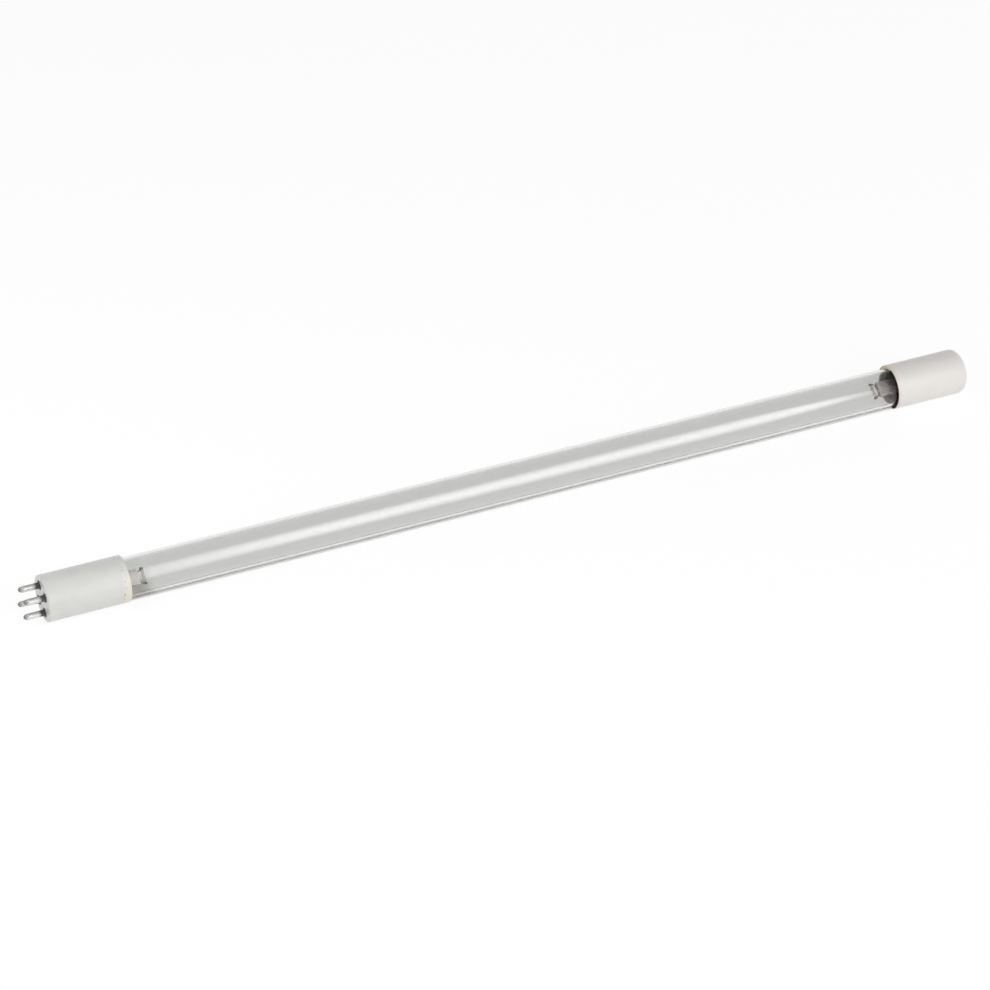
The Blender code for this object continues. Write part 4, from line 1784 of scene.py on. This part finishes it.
def dress_caps(lamp: LampFrame, pins: ContactPins) -> None:
    """Adds the two ceramic caps and their cement.

    Args:
        lamp: The lamp's frame.
        pins: The pins that the base's holes fit.
    """
    base = PinBase(lamp, pins=pins)
    white = GlazedCeramic(
        name="cool_ceramic",
        white=(0.82, 0.82, 0.79),
        shade=(0.785, 0.78, 0.76),
        rim=(0.93, 0.88, 0.76),
        rim_x=lamp.pin_face + base.length,
        rim_width=3.4 * MM,
        rim_top=lamp.height + 6.5 * MM,
        rim_pores=0.75,
    )
    add_piece("pin_base", base.mesh(), white.material(), "white_ceramic", "base_cap")
    cap = EndCap(lamp)
    # The far cap's paler, warmer white is partly its own glaze and partly painted light, as it is lit
    # brighter than the base.
    warm = GlazedCeramic(
        name="warm_ceramic",
        white=(0.92, 0.89, 0.855),
        shade=(0.9, 0.875, 0.84),
        rim=(0.88, 0.8, 0.77),
        rim_x=lamp.cap_end - cap.length,
        rim_width=1.4 * MM,
    )
    add_piece("closed_cap", cap.mesh(), warm.material(), "end_ceramic", "end_cap")
    cream = BasingCement(
        name="pale_cement",
        body=(0.84, 0.77, 0.64),
        grain=(0.9, 0.85, 0.74),
        roughness=0.8,
        paler_back=(0.88, 0.82, 0.7),
        paler_back_y=2.0 * MM,
        mouth_x=lamp.pin_face + base.length,
        paler_back_depth=8.0 * MM,
    )
    # The far cement's near-black body is partly its own dark brown and partly painted shade deep in the
    # mouth; its tan back near the mouth is painted light.
    brown = BasingCement(
        name="dark_cement",
        body=(0.04, 0.008, 0.005),
        grain=(0.08, 0.022, 0.014),
        roughness=0.6,
        paler_back=(0.97, 0.82, 0.7),
        paler_back_y=0.5 * MM,
        mouth_x=lamp.cap_end - cap.length,
        paler_back_depth=2.4 * MM,
    )
    for end, finish, slot in ((End.BASE, cream, "cream_cement"), (End.FAR, brown, "brown_cement")):
        ring = CementRing(lamp, end).mesh()
        add_piece(f"{end.value}_cement_ring", ring, finish.material(), slot, f"{end.value}_cement")


def dress_mounts(lamp: LampFrame) -> dict[End, ElectrodeMount]:
    """Adds the stems and filaments of both ends.

    Args:
        lamp: The lamp's frame.

    Returns:
        The two mounts.
    """
    mounts = {
        End.BASE: ElectrodeMount(lamp, End.BASE, math.radians(34.0), math.radians(1.8)),
        End.FAR: ElectrodeMount(lamp, End.FAR, math.radians(146.0)),
    }
    glass = {
        End.BASE: PressedGlass("milky_press", (0.98, 0.93, 0.92), (0.97, 0.9, 0.89), 0.12).material(),
        # The far stem darkens with painted shade inside its cap.
        End.FAR: PressedGlass(
            name="pale_press",
            tint=(0.86, 0.78, 0.75),
            milk=(0.82, 0.74, 0.71),
            clearness=0.45,
            painted_shade=(0.3, 0.19, 0.16),
            painted_shade_x=lamp.cap_end - EndCap.length,
        ).material(),
    }
    coil = CoatedCoil("coated_coil", (0.96, 0.94, 0.92), (0.5, 0.49, 0.48)).material()
    for end, mount in mounts.items():
        stem = mount.stem_mesh()
        add_piece(f"{end.value}_glass_stem", stem, glass[end], "stem_glass", f"{end.value}_stem")
        add_piece(f"{end.value}_coil", mount.filament_mesh(), coil, "tungsten", f"{end.value}_filament")
    return mounts


def main() -> None:
    """Builds the lamp piece by piece, then the studio round it."""
    logging.basicConfig(level=logging.INFO, format="%(name)s: %(message)s")
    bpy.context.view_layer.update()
    LOG.info("%d solids in the frame", len(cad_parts))
    lamp = LampFrame.from_solids()
    pins = ContactPins(lamp)
    dress_caps(lamp, pins)
    # The dark at the pins' roots is painted shade.
    plate = PlatedPin(
        name="nickel_plate",
        plate=(0.74, 0.73, 0.71),
        oxide=(0.1, 0.1, 0.102),
        root_x=lamp.pin_face,
        tip_x=lamp.tip,
    )
    pins.dress(plate)
    mounts = dress_mounts(lamp)
    wiring = Wiring(lamp, mounts[End.BASE], mounts[End.FAR], pins)
    wiring.dress(
        DrawnMetal("lead_wire", (0.34, 0.32, 0.3), (0.12, 0.105, 0.1), 0.35),
        WovenSleeving("glass_braid", (0.93, 0.92, 0.895), (0.72, 0.7, 0.66), 1.1 * MM, 5),
        DrawnMetal("pressed_brass", (0.66, 0.52, 0.3), (0.4, 0.3, 0.18), 0.3),
    )
    mercury = LiquidMetal("liquid_mercury", (0.78, 0.79, 0.81), (0.6, 0.6, 0.61))
    add_piece("mercury_bead", MercuryDrop(lamp).mesh(), mercury.material(), "mercury", "mercury_drop")
    # Grey tint: painted shade. Paler edge-on tint: painted light.
    glass = TubeGlass(
        name="clear_glass",
        tint=(0.765, 0.77, 0.76),
        edge=(0.93, 0.935, 0.925),
        grey_brown=(0.42, 0.395, 0.37),
        grey_brown_x=lamp.pin_face + 38.0 * MM,
        grey_brown_z=lamp.height - 5.0 * MM,
        bare=(0.98, 0.98, 0.975),
        bare_x=lamp.cap_end - EndCap.length,
        shadow_tint=(0.9, 0.9, 0.89),
    )
    add_piece("glass_tube", ClearTube(lamp).mesh(), glass.material(), "tube_glass", "clear_tube")
    Studio().add(lamp.height)
    Camera().add(lamp.height)


if __name__ == "__main__":
    main()
